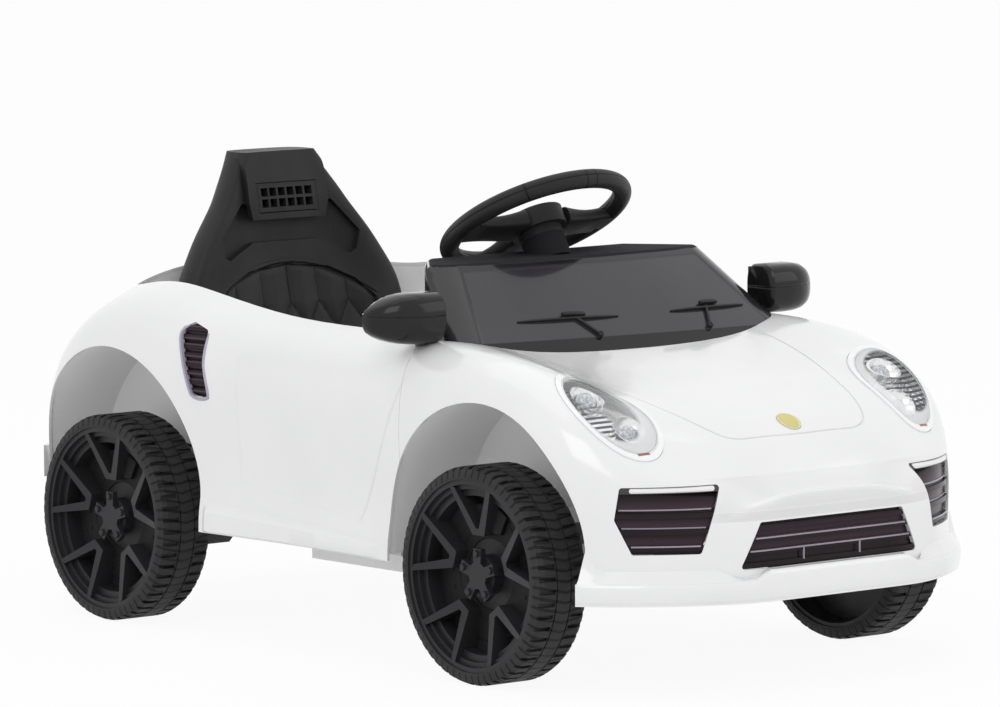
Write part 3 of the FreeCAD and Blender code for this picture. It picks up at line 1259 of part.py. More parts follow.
# Drive: fixed rear axle, gearbox beside the right wheel, motor, and the dog that turns the wheel.
def drive():
    end = s.rear_track / 2 + s.tyre_width / 2 - s.boss_inset - s.axle_spare
    across = Rotation(Vector(0, 1, 0), 90)
    keep(primitive("Cylinder", "rear_axle_bar", Vector(-end, rear_axle_y, s.tyre_radius), across,
                   Radius=s.axle_diameter / 2, Height=end * 2), "rear_axle")
    inner = s.rear_deck_half + s.clearance
    body = doc.addObject("PartDesign::Body", "gearbox_body")
    low, high = s.tyre_radius - s.gearbox_high / 2, s.tyre_radius + s.gearbox_high / 2
    rear, front = rear_axle_y + s.gearbox_high / 2, rear_axle_y + s.gearbox_high / 2 - s.gearbox_long
    bevel = s.gearbox_round
    corners = ((front + bevel, low), (rear - bevel, low), (rear, low + bevel), (rear, high - bevel),
               (rear - bevel, high),
               (front + bevel, high), (front, high - bevel), (front, low + bevel))
    padded(body, outline(body, "gearbox_profile", "YZ_Plane", corners, lift=-inner - s.gearbox_wide),
           s.gearbox_wide)
    hole = circles(body, "gearbox_bore", "YZ_Plane", ((rear_axle_y, s.tyre_radius,
                                                       s.axle_diameter / 2 + s.running_fit),))
    body.Tip = pocketed(body, hole, s.rear_track, both=True)
    keep(body, "gearbox")
    keep(primitive("Cylinder", "motor_can", Vector(-s.rear_deck_half + s.pan_wall + s.clearance,
                                                   rear_axle_y - s.motor_ahead, s.tyre_radius),
                   across, Radius=s.motor_diameter / 2, Height=s.motor_long), "motor")
    web_back = s.rear_track / 2 + s.tyre_width / 2 - s.web_inset - s.web_thick - s.clearance
    box_face = inner + s.gearbox_wide + s.clearance
    drum = primitive("Cylinder", "dog_drum", Vector(-web_back, rear_axle_y, s.tyre_radius), across,
                     Radius=s.boss_radius,
                     Height=web_back - box_face)
    disc = primitive("Cylinder", "dog_disc", Vector(-web_back, rear_axle_y, s.tyre_radius), across,
                     Radius=s.dog_radius, Height=s.dog_thick)
    bore = primitive("Cylinder", "dog_bore", Vector(-web_back - s.overrun, rear_axle_y, s.tyre_radius),
                     across,
                     Radius=s.axle_diameter / 2 + s.running_fit, Height=web_back)
    keep(carved("dog_solid", joined("dog_blank", drum, disc), bore), "drive_dog")
    rear = front_axle_y + s.tub_rear - s.pan_wall - s.clearance
    keep(primitive("Box", "battery_case", Vector(-s.battery_wide / 2, rear - s.battery_long,
                                                 s.tub_low + s.pan_wall + s.clearance),
                   Length=s.battery_wide, Width=s.battery_long, Height=s.battery_high), "battery")


# Accelerator pedal on a pivot pin between two ears on the footwell floor.
def pedal():
    floor = s.foot_low + s.pan_wall
    y = front_axle_y + s.pedal_back
    pivot_z = floor + s.pedal_ear_high - s.pedal_pin
    turn = Rotation(Vector(1, 0, 0), -float(s.pedal_tilt))
    pivot = Vector(-s.pedal_half, y, pivot_z)
    radius = s.pedal_pin / 2
    plate = primitive("Box", "pedal_plate", pivot + turn.multVec(Vector(-s.pedal_width / 2, -s.pedal_long,
                                                                        -s.pedal_thick / 2)), turn,
                      Length=s.pedal_width, Width=s.pedal_long, Height=s.pedal_thick)
    across = Rotation(Vector(0, 1, 0), 90)
    barrel = primitive("Cylinder", "pedal_barrel", pivot - Vector(s.pedal_width / 2, 0, 0), across,
                       Radius=s.pedal_pin,
                       Height=s.pedal_width)
    bore = primitive("Cylinder", "pedal_bore", pivot - Vector(s.pedal_width, 0, 0), across,
                     Radius=radius + s.running_fit,
                     Height=s.pedal_width * 2)
    keep(carved("pedal_solid", joined("pedal_blank", plate, barrel), bore), "accelerator_pedal")
    ear = s.pedal_ear
    inner = s.pedal_width / 2 + s.clearance
    solids = [primitive("Cylinder", "pedal_pin_bar", pivot - Vector(inner + ear, 0, 0), across,
                        Radius=radius, Height=(inner + ear) * 2)]
    for index, x in enumerate((-inner - ear, inner)):
        corner = Vector(-s.pedal_half + x, y - s.pedal_ear_high / 2, floor)
        solids.append(primitive("Box", f"pedal_ear{index}", corner, Length=ear, Width=s.pedal_ear_high,
                                Height=s.pedal_ear_high))
    keep(joined("pedal_bracket_solid", *solids), "pedal_bracket")


# Rocker switches and the charging socket in the dash.
def switches():
    rear = front_axle_y + s.screen_rear
    for label, across in (("power_switch", s.power_half), ("direction_switch", s.direction_half)):
        corner = Vector(-across - s.switch_wide / 2, rear - s.switch_deep + s.switch_proud,
                        s.switch_height - s.switch_high / 2)
        cap = primitive("Box", label + "_cap", corner, Length=s.switch_wide, Width=s.switch_deep,
                        Height=s.switch_high)
        reach = s.switch_wide / 2 + s.switch_pin_out
        pivot = Vector(-across - reach, rear - s.dash_wall / 2, s.switch_height)
        pin = primitive("Cylinder", label + "_pin", pivot, Rotation(Vector(0, 1, 0), 90),
                        Radius=s.switch_pin / 2,
                        Height=reach * 2)
        keep(joined(label + "_solid", cap, pin), label)
    across = Rotation(Vector(1, 0, 0), -90)
    deep = s.dash_wall * 3
    middle = Vector(s.socket_half, rear - deep, s.socket_height)
    drum = primitive("Cylinder", "socket_drum", middle, across, Radius=s.socket_diameter / 2,
                     Height=deep + s.switch_proud)
    jack = primitive("Cylinder", "socket_jack", middle + Vector(0, s.dash_wall, 0), across,
                     Radius=s.jack_diameter / 2,
                     Height=deep)
    keep(carved("socket_solid", drum, jack), "charge_socket")


def write_parts():
    doc.recompute()
    for item in doc.Objects:
        if {"Invalid", "Error"} & set(item.State):
            raise RuntimeError(f"{item.Label} failed: {item.State}")
    for item in nodes:
        if item.Shape.isNull() or not item.Shape.isValid():
            raise RuntimeError(f"{item.Label} has no valid shape")
    os.makedirs("parts", exist_ok=True)
    for item in nodes:
        item.Shape.exportStep(f"parts/{item.Label}.step")
        print(item.Label, len(item.Shape.Solids), round(item.Shape.Volume))


body_shells()
body_inserts()
wheel_wells()
windscreen_and_dash()
seat_back()
seat_base()
mirrors()
wheels()
steering_wheel()
front_axle()
knuckles()
tie_rod()
chassis_pan()
drive()
pedal()
switches()
write_parts()
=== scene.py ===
import json
import math
import bpy
import bmesh
from mathutils import Matrix, Vector
from mathutils.bvhtree import BVHTree


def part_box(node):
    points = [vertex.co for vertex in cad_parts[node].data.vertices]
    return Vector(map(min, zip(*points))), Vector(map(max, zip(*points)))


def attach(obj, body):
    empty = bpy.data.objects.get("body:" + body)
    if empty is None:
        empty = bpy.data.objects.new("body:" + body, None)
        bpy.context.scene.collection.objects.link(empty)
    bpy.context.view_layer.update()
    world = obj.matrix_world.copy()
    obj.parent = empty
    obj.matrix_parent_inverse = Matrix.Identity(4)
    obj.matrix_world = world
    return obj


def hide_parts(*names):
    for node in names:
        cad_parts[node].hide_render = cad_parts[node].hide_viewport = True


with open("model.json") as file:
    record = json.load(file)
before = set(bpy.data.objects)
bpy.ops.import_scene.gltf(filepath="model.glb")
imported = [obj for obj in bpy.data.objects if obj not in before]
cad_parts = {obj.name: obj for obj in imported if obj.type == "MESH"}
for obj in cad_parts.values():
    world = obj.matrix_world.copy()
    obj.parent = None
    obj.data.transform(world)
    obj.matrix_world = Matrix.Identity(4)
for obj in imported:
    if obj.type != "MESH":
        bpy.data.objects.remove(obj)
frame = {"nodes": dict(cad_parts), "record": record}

scene = bpy.context.scene
nodes = frame["nodes"]
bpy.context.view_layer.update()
sides = ((-1, "Right"), (1, "Left"))
axisX, axisY, axisZ = (Vector(row) for row in Matrix.Identity(3))

# Rays that look for a surface start this far from the car's middle
outside = 0.6

# The photograph's view
view = {"azimuth": -39.514, "elevation": 5.846, "roll": -0.395, "distance": 7.1456, "lens": 245.17,
        "sensor": 36, "reach": 60, "target": (0.0, -0.00314, 0.29288)}


def placeCamera():
    az, el, roll = (math.radians(view[key]) for key in ("azimuth", "elevation", "roll"))
    back = Vector((math.sin(az) * math.cos(el), -math.cos(az) * math.cos(el), math.sin(el)))
    right = Vector((math.cos(az), math.sin(az), 0))
    up = back.cross(right)
    across = right * math.cos(roll) + up * math.sin(roll)
    upward = up * math.cos(roll) - right * math.sin(roll)
    place = Matrix((across, upward, back)).transposed().to_4x4()
    place.translation = Vector(view["target"]) + back * view["distance"]
    data = bpy.data.cameras.new("photoCamera")
    data.sensor_fit = "HORIZONTAL"
    data.sensor_width = view["sensor"]
    data.lens = view["lens"]
    data.clip_end = view["reach"]
    camera = bpy.data.objects.new("photoCamera", data)
    camera.matrix_world = place
    scene.collection.objects.link(camera)
    scene.camera = camera


# A node output that does sums, so that masks read as plain arithmetic
class Wire:
    def __init__(self, look, socket):
        self.look = look
        self.socket = socket

    def calc(self, operation, first, second=0.0):
        return self.look.add("ShaderNodeMath", {"operation": operation}, {0: first, 1: second})

    def __add__(self, other):
        return self.calc("ADD", self, other)

    def __radd__(self, other):
        return self.calc("ADD", other, self)

    def __sub__(self, other):
        return self.calc("SUBTRACT", self, other)

    def __rsub__(self, other):
        return self.calc("SUBTRACT", other, self)

    def __mul__(self, other):
        return self.calc("MULTIPLY", self, other)

    def __rmul__(self, other):
        return self.calc("MULTIPLY", other, self)

    def __truediv__(self, other):
        return self.calc("DIVIDE", self, other)

    def __rtruediv__(self, other):
        return self.calc("DIVIDE", other, self)

    def __pow__(self, other):
        return self.calc("POWER", self, other)

    def __abs__(self):
        return self.calc("ABSOLUTE", self)

    def most(self, other):
        return self.calc("MAXIMUM", self, other)

    def least(self, other):
        return self.calc("MINIMUM", self, other)

    def fold(self, span):
        return self.calc("PINGPONG", self, span)

    def wave(self):
        return self.calc("SINE", self)

    def angle(self, other):
        return self.calc("ARCTAN2", self, other)

    # 1 below the edge and 0 above it
    def below(self, edge, soft):
        return self.look.add("ShaderNodeMapRange", {"interpolation_type": "SMOOTHSTEP"},
                             {0: self, 1: edge - soft, 2: edge + soft, 3: 1.0, 4: 0.0})

    def near(self, middle, half, soft):
        return abs(self - middle).below(half, soft)


# Slow drifts over a surface: the part of the noise that is used, then scale and detail of each drift
drifting = {"low": 0.3, "high": 0.7, "colour": (9.0, 3.0), "gloss": (26.0, 4.0)}


class Look:
    def __init__(self, name, **fixed):
        self.material = bpy.data.materials.new(name)
        self.material.use_nodes = True
        self.tree = self.material.node_tree
        self.shader = self.tree.nodes["Principled BSDF"]
        for key, value in fixed.items():
            self.shader.inputs[key.replace("_", " ")].default_value = value

    def add(self, kind, settings=None, inputs=None, output=0):
        node = self.tree.nodes.new(kind)
        for key, value in (settings or {}).items():
            setattr(node, key, value)
        for key, value in (inputs or {}).items():
            if isinstance(value, Wire):
                self.tree.links.new(value.socket, node.inputs[key])
            else:
                node.inputs[key].default_value = value
        return Wire(self, node.outputs[output])

    def feed(self, name, wire):
        self.tree.links.new(wire.socket, self.shader.inputs[name])
        return self

    def spot(self):
        return self.add("ShaderNodeTexCoord", output="Object")

    def split(self, vector):
        parts = self.add("ShaderNodeSeparateXYZ", None, {0: vector}).socket.node.outputs
        return [Wire(self, part) for part in parts]

    def axes(self):
        return self.split(self.spot())

    # The surface's own direction
    def facing(self):
        return self.split(self.add("ShaderNodeTexCoord", output="Normal"))

    def noise(self, scale, detail=2.0):
        return self.add("ShaderNodeTexNoise", None, {"Vector": self.spot(), "Scale": scale, "Detail": detail})

    # Fine skin and coarser grain, each with its scale and its depth in metres
    def skin(self, scale, depth):
        return self.noise(scale) * depth

    def grain(self, scale, depth=1.0):
        place = {"Vector": self.spot(), "Scale": scale}
        return self.add("ShaderNodeTexVoronoi", {"feature": "SMOOTH_F1"}, place) * depth

    def spread(self, wire, low, high):
        cut = {0: wire, 1: drifting["low"], 2: drifting["high"], 3: low, 4: high}
        return self.add("ShaderNodeMapRange", None, cut)

    def tint(self, mask, first, second):
        return self.add("ShaderNodeMix", {"data_type": "RGBA"}, {0: mask, 6: first, 7: second}, 2)

    # Height is in metres
    def relief(self, height):
        bump = self.add("ShaderNodeBump", None, {"Height": height, "Distance": 1.0, "Strength": 1.0})
        return self.feed("Normal", bump)

    def gloss(self, rough):
        return self.spread(self.noise(*drifting["gloss"]), *rough)

    # A colour that drifts a little between two shades, and an uneven gloss
    def drift(self, dark, light, rough):
        colour = self.tint(self.spread(self.noise(*drifting["colour"]), 0.0, 1.0), dark, light)
        self.feed("Roughness", self.gloss(rough))
        return colour


def grey(level):
    return (level, level, level, 1.0)


plumShares = (1.25, 0.72, 0.98)


def plum(level):
    return (*(level * share for share in plumShares), 1.0)


# Plain moulded plastic or metal with a fine skin
def moulded(name, dark, light, rough, skin, depth, **fixed):
    look = Look(name, **fixed)
    look.feed("Base Color", look.drift(dark, light, rough))
    return look.relief(look.skin(skin, depth))


# Sunk door panel and the tuck under the nose crease, which the shell carries as shallow steps
shell = {"sideFrom": 0.225, "sideSoft": 0.012, "panelDeep": 0.0016, "panelLow": 0.156, "panelRise": 0.119,
         "panelRear": 0.111, "panelTop": 0.300, "topSoft": 0.012, "panelFront": -0.0185, "panelLean": 0.497,
         "panelSoft": 0.004, "creaseHigh": 0.2145, "tuck": 0.42, "tuckDeep": 0.032, "tuckHalf": 0.150,
         "tuckSoft": 0.025, "flare": 0.8, "flareHigh": 0.182, "flareDeep": 0.009, "noseAt": -0.43,
         "noseSoft": 0.02, "dark": (0.855, 0.857, 0.865, 1), "light": (0.885, 0.886, 0.892, 1),
         "rough": (0.14, 0.22), "skin": (420, 0.00002), "wave": (30, 0.0002)}


def glossShell():
    look = Look("glossWhite", Coat_Weight=0.5, Coat_Roughness=0.05)
    x, y, z = look.axes()
    soft = shell["panelSoft"]
    side = 1 - abs(x).below(shell["sideFrom"], shell["sideSoft"])
    panel = 1 - (z - y * shell["panelRise"]).below(shell["panelLow"], soft)
    panel = panel * y.below(shell["panelRear"], soft) * z.below(shell["panelTop"], shell["topSoft"])
    panel = panel * (1 - (y + z * shell["panelLean"]).below(shell["panelFront"], soft))
    tuck = (shell["creaseHigh"] - z).most(0.0).least(shell["tuckDeep"]) * shell["tuck"]
    flare = (shell["flareHigh"] - z).most(0.0).least(shell["flareDeep"]) * shell["flare"]
    nose = y.below(shell["noseAt"], shell["noseSoft"]) * abs(x).below(shell["tuckHalf"], shell["tuckSoft"])
    step = nose * (flare - tuck) - side * panel * shell["panelDeep"]
    look.feed("Base Color", look.drift(shell["dark"], shell["light"], shell["rough"]))
    return look.relief(step + look.skin(*shell["skin"]) + look.skin(*shell["wave"]))


# Seat shell: grained plastic with a piped arch and a raised frame round the vents
seat = {"dark": grey(0.016), "light": grey(0.026), "rough": (0.40, 0.54), "grain": (900, 0.00012),
        "front": -0.35, "frontSoft": 0.15, "pipeRise": 0.004, "pipeHalf": 0.0022, "pipeSoft": 0.0012,
        "pipeProud": 0.0018, "endSoft": 0.002, "ventHigh": 0.4365, "ventHalf": (0.0400, 0.0160),
        "borderHalf": 0.0011, "borderSoft": 0.0008, "borderDeep": 0.0014, "panelRough": (0.42, 0.56),
        "seamPaintedShade": grey(0.006), "seamSoft": 0.0005, "footHigh": 0.006, "footSoft": 0.001}

# Quilted seat back: upright channels under an arch that split into diamonds
quilt = {"pitch": 0.0376, "splitHigh": 0.322, "slope": 0.62, "archHigh": 0.364, "archDrop": 3.2,
         "half": 0.109, "low": 0.2185, "deep": 0.0042, "seam": 0.0009, "rim": 0.007, "columns": 131,
         "rows": 96}
halfPitch = quilt["pitch"] / 2


def seatShell():
    look = Look("seatBlack", Specular_IOR_Level=0.22)
    x, y, z = look.axes()
    front = look.facing()[1].below(seat["front"], seat["frontSoft"])
    arch = z + x * x * quilt["archDrop"]
    piping = arch.near(quilt["archHigh"] + seat["pipeRise"], seat["pipeHalf"], seat["pipeSoft"])
    piping = piping * abs(x).below(quilt["half"], seat["endSoft"]) * front
    border = (abs(x) - seat["ventHalf"][0]).most(abs(z - seat["ventHigh"]) - seat["ventHalf"][1])
    border = border.near(0.0, seat["borderHalf"], seat["borderSoft"]) * front
    look.feed("Base Color", look.drift(seat["dark"], seat["light"], seat["rough"]))
    return look.relief(piping * seat["pipeProud"] - border * seat["borderDeep"] + look.grain(*seat["grain"]))


# Quilted and ribbed panels of the seat: the same moulded plastic, with painted shade darkening the grooves
def panelFinish():
    look = Look("seatPanel", Specular_IOR_Level=0.22)
    x, y, z = look.axes()
    upright = 1 - z.below(quilt["low"] + seat["footHigh"], seat["footSoft"])
    split = ((quilt["splitHigh"] - z).most(0.0) * upright * quilt["slope"]).fold(halfPitch)
    # Painted shade: the grooves between the pillows are coloured darker
    seam = abs(x.fold(halfPitch) - split).below(quilt["seam"], seat["seamSoft"])
    colour = look.drift(seat["dark"], seat["light"], seat["panelRough"])
    look.feed("Base Color", look.tint(seam, colour, seat["seamPaintedShade"]))
    return look.relief(look.grain(*seat["grain"]))


# Lamp frame: centre and its two directions on the left side, half lengths along them
lamp = {"centre": (0.1915, -0.404, 0.277), "out": (0.18, -0.58, 0.79), "run": (0.18, 0.82, 0.54),
        "long": 0.0695, "short": 0.039, "bowls": ((-0.19, 0.06), (0.21, -0.04)), "bowl": 0.018}
lampOut = Vector(lamp["out"]).normalized()
lampRun = Vector(lamp["run"])
lampRun = (lampRun - lampOut * lampRun.dot(lampOut)).normalized()
lampAcross = lampOut.cross(lampRun)


# Shares along the lamp's long and short half axes
def lampShares(look):
    places = look.axes()
    places[0] = abs(places[0])
    gap = [place - middle for place, middle in zip(places, lamp["centre"])]
    along = sum((part * lampRun[index] for index, part in enumerate(gap)), 0.0) / lamp["long"]
    across = sum((part * lampAcross[index] for index, part in enumerate(gap)), 0.0) / lamp["short"]
    return along, across


def reachOf(first, second):
    return (first ** 2 + second ** 2) ** 0.5


# Clear cover with an opaque white bezel, a milky outer third and a small amber marker at its low end,
# placed in shares of the lamp's half lengths
cover = {"bezel": 0.875, "bezelSoft": 0.012, "windowAt": (0.10, -0.14), "windowHalf": (0.72, 0.80),
         "clear": 0.97, "clearSoft": 0.05, "markerAt": (-0.90, -0.20), "markerHalf": (0.022, 0.16),
         "markerSoft": (0.006, 0.02), "markerLean": 0.19, "ring": 0.88, "ringHalf": 0.012,
         "ringSoft": 0.008, "ringDeep": 0.0012, "clearAlpha": 0.05, "milkAlpha": 0.60, "bezelAlpha": 0.95,
         "dark": (0.90, 0.91, 0.92, 1), "light": (0.94, 0.95, 0.955, 1), "rough": (0.03, 0.07),
         "amber": (0.34, 0.11, 0.07, 1), "skin": (220, 0.00002)}


def lampCover():
    look = Look("lampCover", Coat_Weight=0.6, Coat_Roughness=0.03, IOR=1.45)
    along, across = lampShares(look)
    edge = reachOf(along, across)
    bezel = 1 - edge.below(cover["bezel"], cover["bezelSoft"])
    window = reachOf((along - cover["windowAt"][0]) / cover["windowHalf"][0],
                     (across - cover["windowAt"][1]) / cover["windowHalf"][1])
    milk = (1 - window.below(cover["clear"], cover["clearSoft"])) * (1 - bezel)
    marker = 1.0
    for place, at, half, soft in zip((along + across * cover["markerLean"], across), cover["markerAt"],
                                     cover["markerHalf"], cover["markerSoft"]):
        marker = marker * place.near(at, half, soft)
    colour = look.drift(cover["dark"], cover["light"], cover["rough"])
    look.feed("Base Color", look.tint(marker, colour, cover["amber"]))
    alpha = cover["clearAlpha"] + milk * cover["milkAlpha"] + bezel * cover["bezelAlpha"]
    look.feed("Alpha", alpha.least(1.0).most(marker))
    ring = edge.near(cover["ring"], cover["ringHalf"], cover["ringSoft"])
    return look.relief(ring * -cover["ringDeep"] + look.skin(*cover["skin"]))


# Silvered bowls with slate stripes on the flats between them, and painted shade darkening the low corner
silver = {"bowlSoft": 0.06, "stripes": 1150, "lean": 0.25, "stripe": (-0.1, 0.25),
          "stripeEnd": (0.10, 0.12), "shadeAlong": (-0.2, 0.2), "shadeAcross": (-0.62, 0.1),
          "stripeShade": (0.07, 0.085, 0.11, 1), "cornerPaintedShade": (0.06, 0.07, 0.09, 1),
          "stripeProud": 0.0008, "rough": (0.12, 0.24), "skin": (260, 0.00006)}


def lampSilver():
    look = Look("lampChrome", Metallic=0.75)
    along, across = lampShares(look)
    x, y, z = look.axes()
    flat = 1.0
    for share in lamp["bowls"]:
        reach = reachOf((along - share[0] * 2) * (lamp["long"] / lamp["bowl"]),
                        (across - share[1] * 2) * (lamp["short"] / lamp["bowl"]))
        flat = flat * (1 - reach.below(1.0, silver["bowlSoft"]))
    stripe = ((z + y * silver["lean"]) * silver["stripes"]).wave().below(*silver["stripe"]) * flat
    stripe = stripe * across.below(*silver["stripeEnd"])
    # Painted shade: the low corner of the silvered reflector is coloured dark
    corner = along.below(*silver["shadeAlong"]) * across.below(*silver["shadeAcross"])
    colour = look.drift(grey(0.86), grey(0.94), silver["rough"])
    colour = look.tint(stripe, colour, silver["stripeShade"])
    look.feed("Base Color", look.tint(corner, colour, silver["cornerPaintedShade"]))
    return look.relief(stripe * silver["stripeProud"] + look.skin(*silver["skin"]))


# Lens of a projector: pale glass with flecks and an uneven gloss
projector = {"flecks": 420, "fleckProud": 0.0006, "dark": (0.34, 0.38, 0.43, 1),
             "light": (0.78, 0.80, 0.83, 1), "gloss": 90, "rough": (0.04, 0.12)}


def projectorGlass():
    look = Look("projectorGlass", Coat_Weight=1.0, Coat_Roughness=0.02, IOR=1.5)
    fleck = look.spread(look.grain(projector["flecks"]), 0.0, 1.0)
    look.feed("Base Color", look.tint(fleck, projector["dark"], projector["light"]))
    look.feed("Roughness", look.spread(look.noise(projector["gloss"]), *projector["rough"]))
    return look.relief(look.grain(projector["flecks"], projector["fleckProud"]))


# Steering column: the wheel's centre and axis, and the turns at which its rim has cross seams
steer = {"centre": (0.0, -0.063, 0.437), "axis": (0.0, 0.5, 0.866025), "ring": 0.095,
         "seams": (1.51, 1.63, 0.84, 2.30, 3.72, 5.70)}


# Places in the plane of the wheel, along its axis and away from it
def columnShares(x, y, z):
    down = (0.0, steer["axis"][2], -steer["axis"][1])
    fore = (y - steer["centre"][1]) * down[1] + (z - steer["centre"][2]) * down[2]
    lift = (y - steer["centre"][1]) * steer["axis"][1] + (z - steer["centre"][2]) * steer["axis"][2]
    return fore, lift, reachOf(x, fore)


# Windscreen: gloss black with a sunk pane inside a narrow frame and a matt trough along its base;
# its level top and the collar of the column are matt too
screen = {"baseHigh": 0.322, "rise": 0.082, "baseHalf": 0.222, "draw": 0.042, "frame": 0.026,
          "topFrame": 0.397, "level": (0.86, 0.06), "collar": (0.040, 0.003),
          "collarHigh": (0.4035, 0.0008), "paneSoft": (0.0025, 0.0015), "paneRear": (-0.11, 0.01),
          "trough": (0.3285, 0.0008), "troughLean": 0.012, "rough": (0.10, 0.18), "matt": 0.7, "coat": 0.60,
          "troughCoat": 0.3, "paneDeep": 0.0010, "troughDeep": 0.0014, "skin": (260, 0.00002),
          "dark": (0.030, 0.028, 0.033, 1), "light": (0.040, 0.037, 0.043, 1),
          "frameShade": (0.017, 0.016, 0.019, 1), "troughShade": (0.008, 0.008, 0.009, 1)}


def glossScreen():
    look = Look("glossScreen", Coat_Roughness=0.05, Specular_IOR_Level=0.12)
    x, y, z = look.axes()
    reach = columnShares(x, y, z)[2]
    collar = reach.below(*screen["collar"]) * (1 - z.below(*screen["collarHigh"]))
    top = (1 - look.facing()[2].below(*screen["level"])).most(collar)
    climb = (z - screen["baseHigh"]) / screen["rise"]
    half = screen["baseHalf"] - screen["frame"] - climb * screen["draw"]
    sideSoft, topSoft = screen["paneSoft"]
    pane = (abs(x) - half).below(0.0, sideSoft) * z.below(screen["topFrame"], topSoft)
    pane = pane * y.below(*screen["paneRear"])
    trough = (z + x * screen["troughLean"]).below(*screen["trough"])
    colour = look.drift(screen["dark"], screen["light"], screen["rough"])
    colour = look.tint(pane * (1 - trough), screen["frameShade"], colour)
    look.feed("Base Color", look.tint(trough, colour, screen["troughShade"]))
    look.feed("Roughness", look.gloss(screen["rough"]) + top * screen["matt"])
    look.feed("Coat Weight", (screen["coat"] - trough * screen["troughCoat"] - top).most(0.0))
    step = pane * -screen["paneDeep"] - trough * screen["troughDeep"]
    return look.relief(step + look.skin(*screen["skin"]))


# Plum-black grilles: a painted highlight at each slat edge fading up into painted shade in the gap, and side
# vent ribs with painted highlights on their crests
grille = {"fogEdges": (0.1866, 0.1686, 0.1508), "noseEdges": (0.1550, 0.1425), "paintedEdgeBand": 0.014,
          "edgeSoft": 0.0004, "nose": (0.125, 0.002), "ahead": (-0.3, 0.01), "dividers": (-0.0375, 0.0375),
          "dividerEnds": (0.1415, 0.1300), "rough": (0.20, 0.32), "slatProud": 0.0008, "ribs": 1050,
          "ribFrom": 0.6, "ribShare": 1.6, "ribProud": 0.0004}


def slattedGrille():
    look = Look("grillePlum", Coat_Weight=0.08, Coat_Roughness=0.1, Specular_IOR_Level=0.12)
    x, y, z = look.axes()
    nose = abs(x).below(*grille["nose"])
    inFront = y.below(*grille["ahead"])
    half = grille["paintedEdgeBand"] / 2
    # Painted light: lighter plum just above each slat edge, fading up into the dark plum of the gap
    paintedEdgeBand = 0.0
    for heights, part in ((grille["fogEdges"], 1 - nose), (grille["noseEdges"], nose)):
        for high in heights:
            paintedEdgeBand = paintedEdgeBand + (1 - z.below(high, grille["edgeSoft"])) * (z - high).below(half, half) * part
    colour = look.drift(plum(0.010), plum(0.016), grille["rough"])
    colour = look.tint((paintedEdgeBand * inFront).least(1.0), colour, plum(0.040))
    rib = (z * grille["ribs"]).wave() * (1 - inFront)
    # Painted highlight: the crests of the vent ribs are coloured lighter
    paintedRibHighlight = (rib - grille["ribFrom"]).most(0.0) * grille["ribShare"]
    look.feed("Base Color", look.tint(paintedRibHighlight, colour, plum(0.12)))
    return look.relief(paintedEdgeBand * grille["slatProud"] + rib * grille["ribProud"])


# Fog grilles: inner end, run and outward direction in plan on the left side, and their extent;
# the slats' outer ends swing out to the knee and back, in shares of the width
fog = {"start": (0.137, -0.511), "run": (0.841, 0.541), "out": (0.541, -0.841), "wide": 0.107, "low": 0.143,
       "high": 0.066, "innerShare": 0.20, "outerShares": (0.84, 1.0, 0.95), "kneeShare": 0.52,
       "inset": 0.003, "away": 0.05}

# White light bar with rounded ends in a dark surround
strip = {"from": 0.008, "to": 0.090, "high": 0.206, "half": 0.0024, "soft": 0.0004, "proud": 0.0012,
         "rough": (0.12, 0.2), "skin": (500, 0.00003)}


def lightBar():
    look = Look("stripWhite", Coat_Weight=0.4, Coat_Roughness=0.05)
    x, y, z = look.axes()
    along = (abs(x) - fog["start"][0]) * fog["run"][0] + (y - fog["start"][1]) * fog["run"][1]
    middle = (strip["from"] + strip["to"]) / 2
    past = (abs(along - middle) - (strip["to"] - strip["from"]) / 2).most(0.0)
    bar = reachOf(past, z - strip["high"]).below(strip["half"], strip["soft"])
    colour = look.drift(grey(0.84), grey(0.88), strip["rough"])
    look.feed("Base Color", look.tint(bar, plum(0.018), colour))
    return look.relief(bar * strip["proud"] + look.skin(*strip["skin"]))


# Steering wheel: leather grain with cross seams on the rim and one running round it
leather = {"inside": 0.013, "insideSoft": 0.002, "cross": (0.009, 0.005), "hoop": (0.0007, 0.0005),
           "crossDeep": 0.0011, "hoopDeep": 0.0008, "grain": (1100, 0.00012), "rough": (0.42, 0.54)}


def wheelLeather():
    look = Look("steeringBlack", Specular_IOR_Level=0.22)
    x, y, z = look.axes()
    fore, lift, reach = columnShares(x, y, z)
    turn = fore.angle(x) + math.pi
    onRing = 1 - reach.below(steer["ring"] - leather["inside"], leather["insideSoft"])
    cross = sum((turn.near(place, *leather["cross"]) for place in steer["seams"]), 0.0) * onRing
    hoop = lift.near(0.0, *leather["hoop"]) * onRing
    colour = look.drift(grey(0.014), grey(0.022), leather["rough"])
    look.feed("Base Color", look.tint((cross + hoop).least(1.0), colour, grey(0.005)))
    seams = cross * -leather["crossDeep"] - hoop * leather["hoopDeep"]
    return look.relief(seams + look.grain(*leather["grain"]))


# Mirror housings: gloss black halves that meet in one level seam
mirrorSeam = {"high": 0.3555, "half": 0.0009, "soft": 0.0005, "lean": 0.02, "deep": 0.0012,
              "skin": (300, 0.00002), "rough": (0.12, 0.2)}


def mirrorGloss():
    look = Look("mirrorBlack", Coat_Weight=0.22, Coat_Roughness=0.04, Specular_IOR_Level=0.2)
    x, y, z = look.axes()
    seam = (z - abs(x) * mirrorSeam["lean"]).near(mirrorSeam["high"], mirrorSeam["half"], mirrorSeam["soft"])
    colour = look.drift(grey(0.007), grey(0.010), mirrorSeam["rough"])
    look.feed("Base Color", look.tint(seam, colour, grey(0.002)))
    return look.relief(seam * -mirrorSeam["deep"] + look.skin(*mirrorSeam["skin"]))
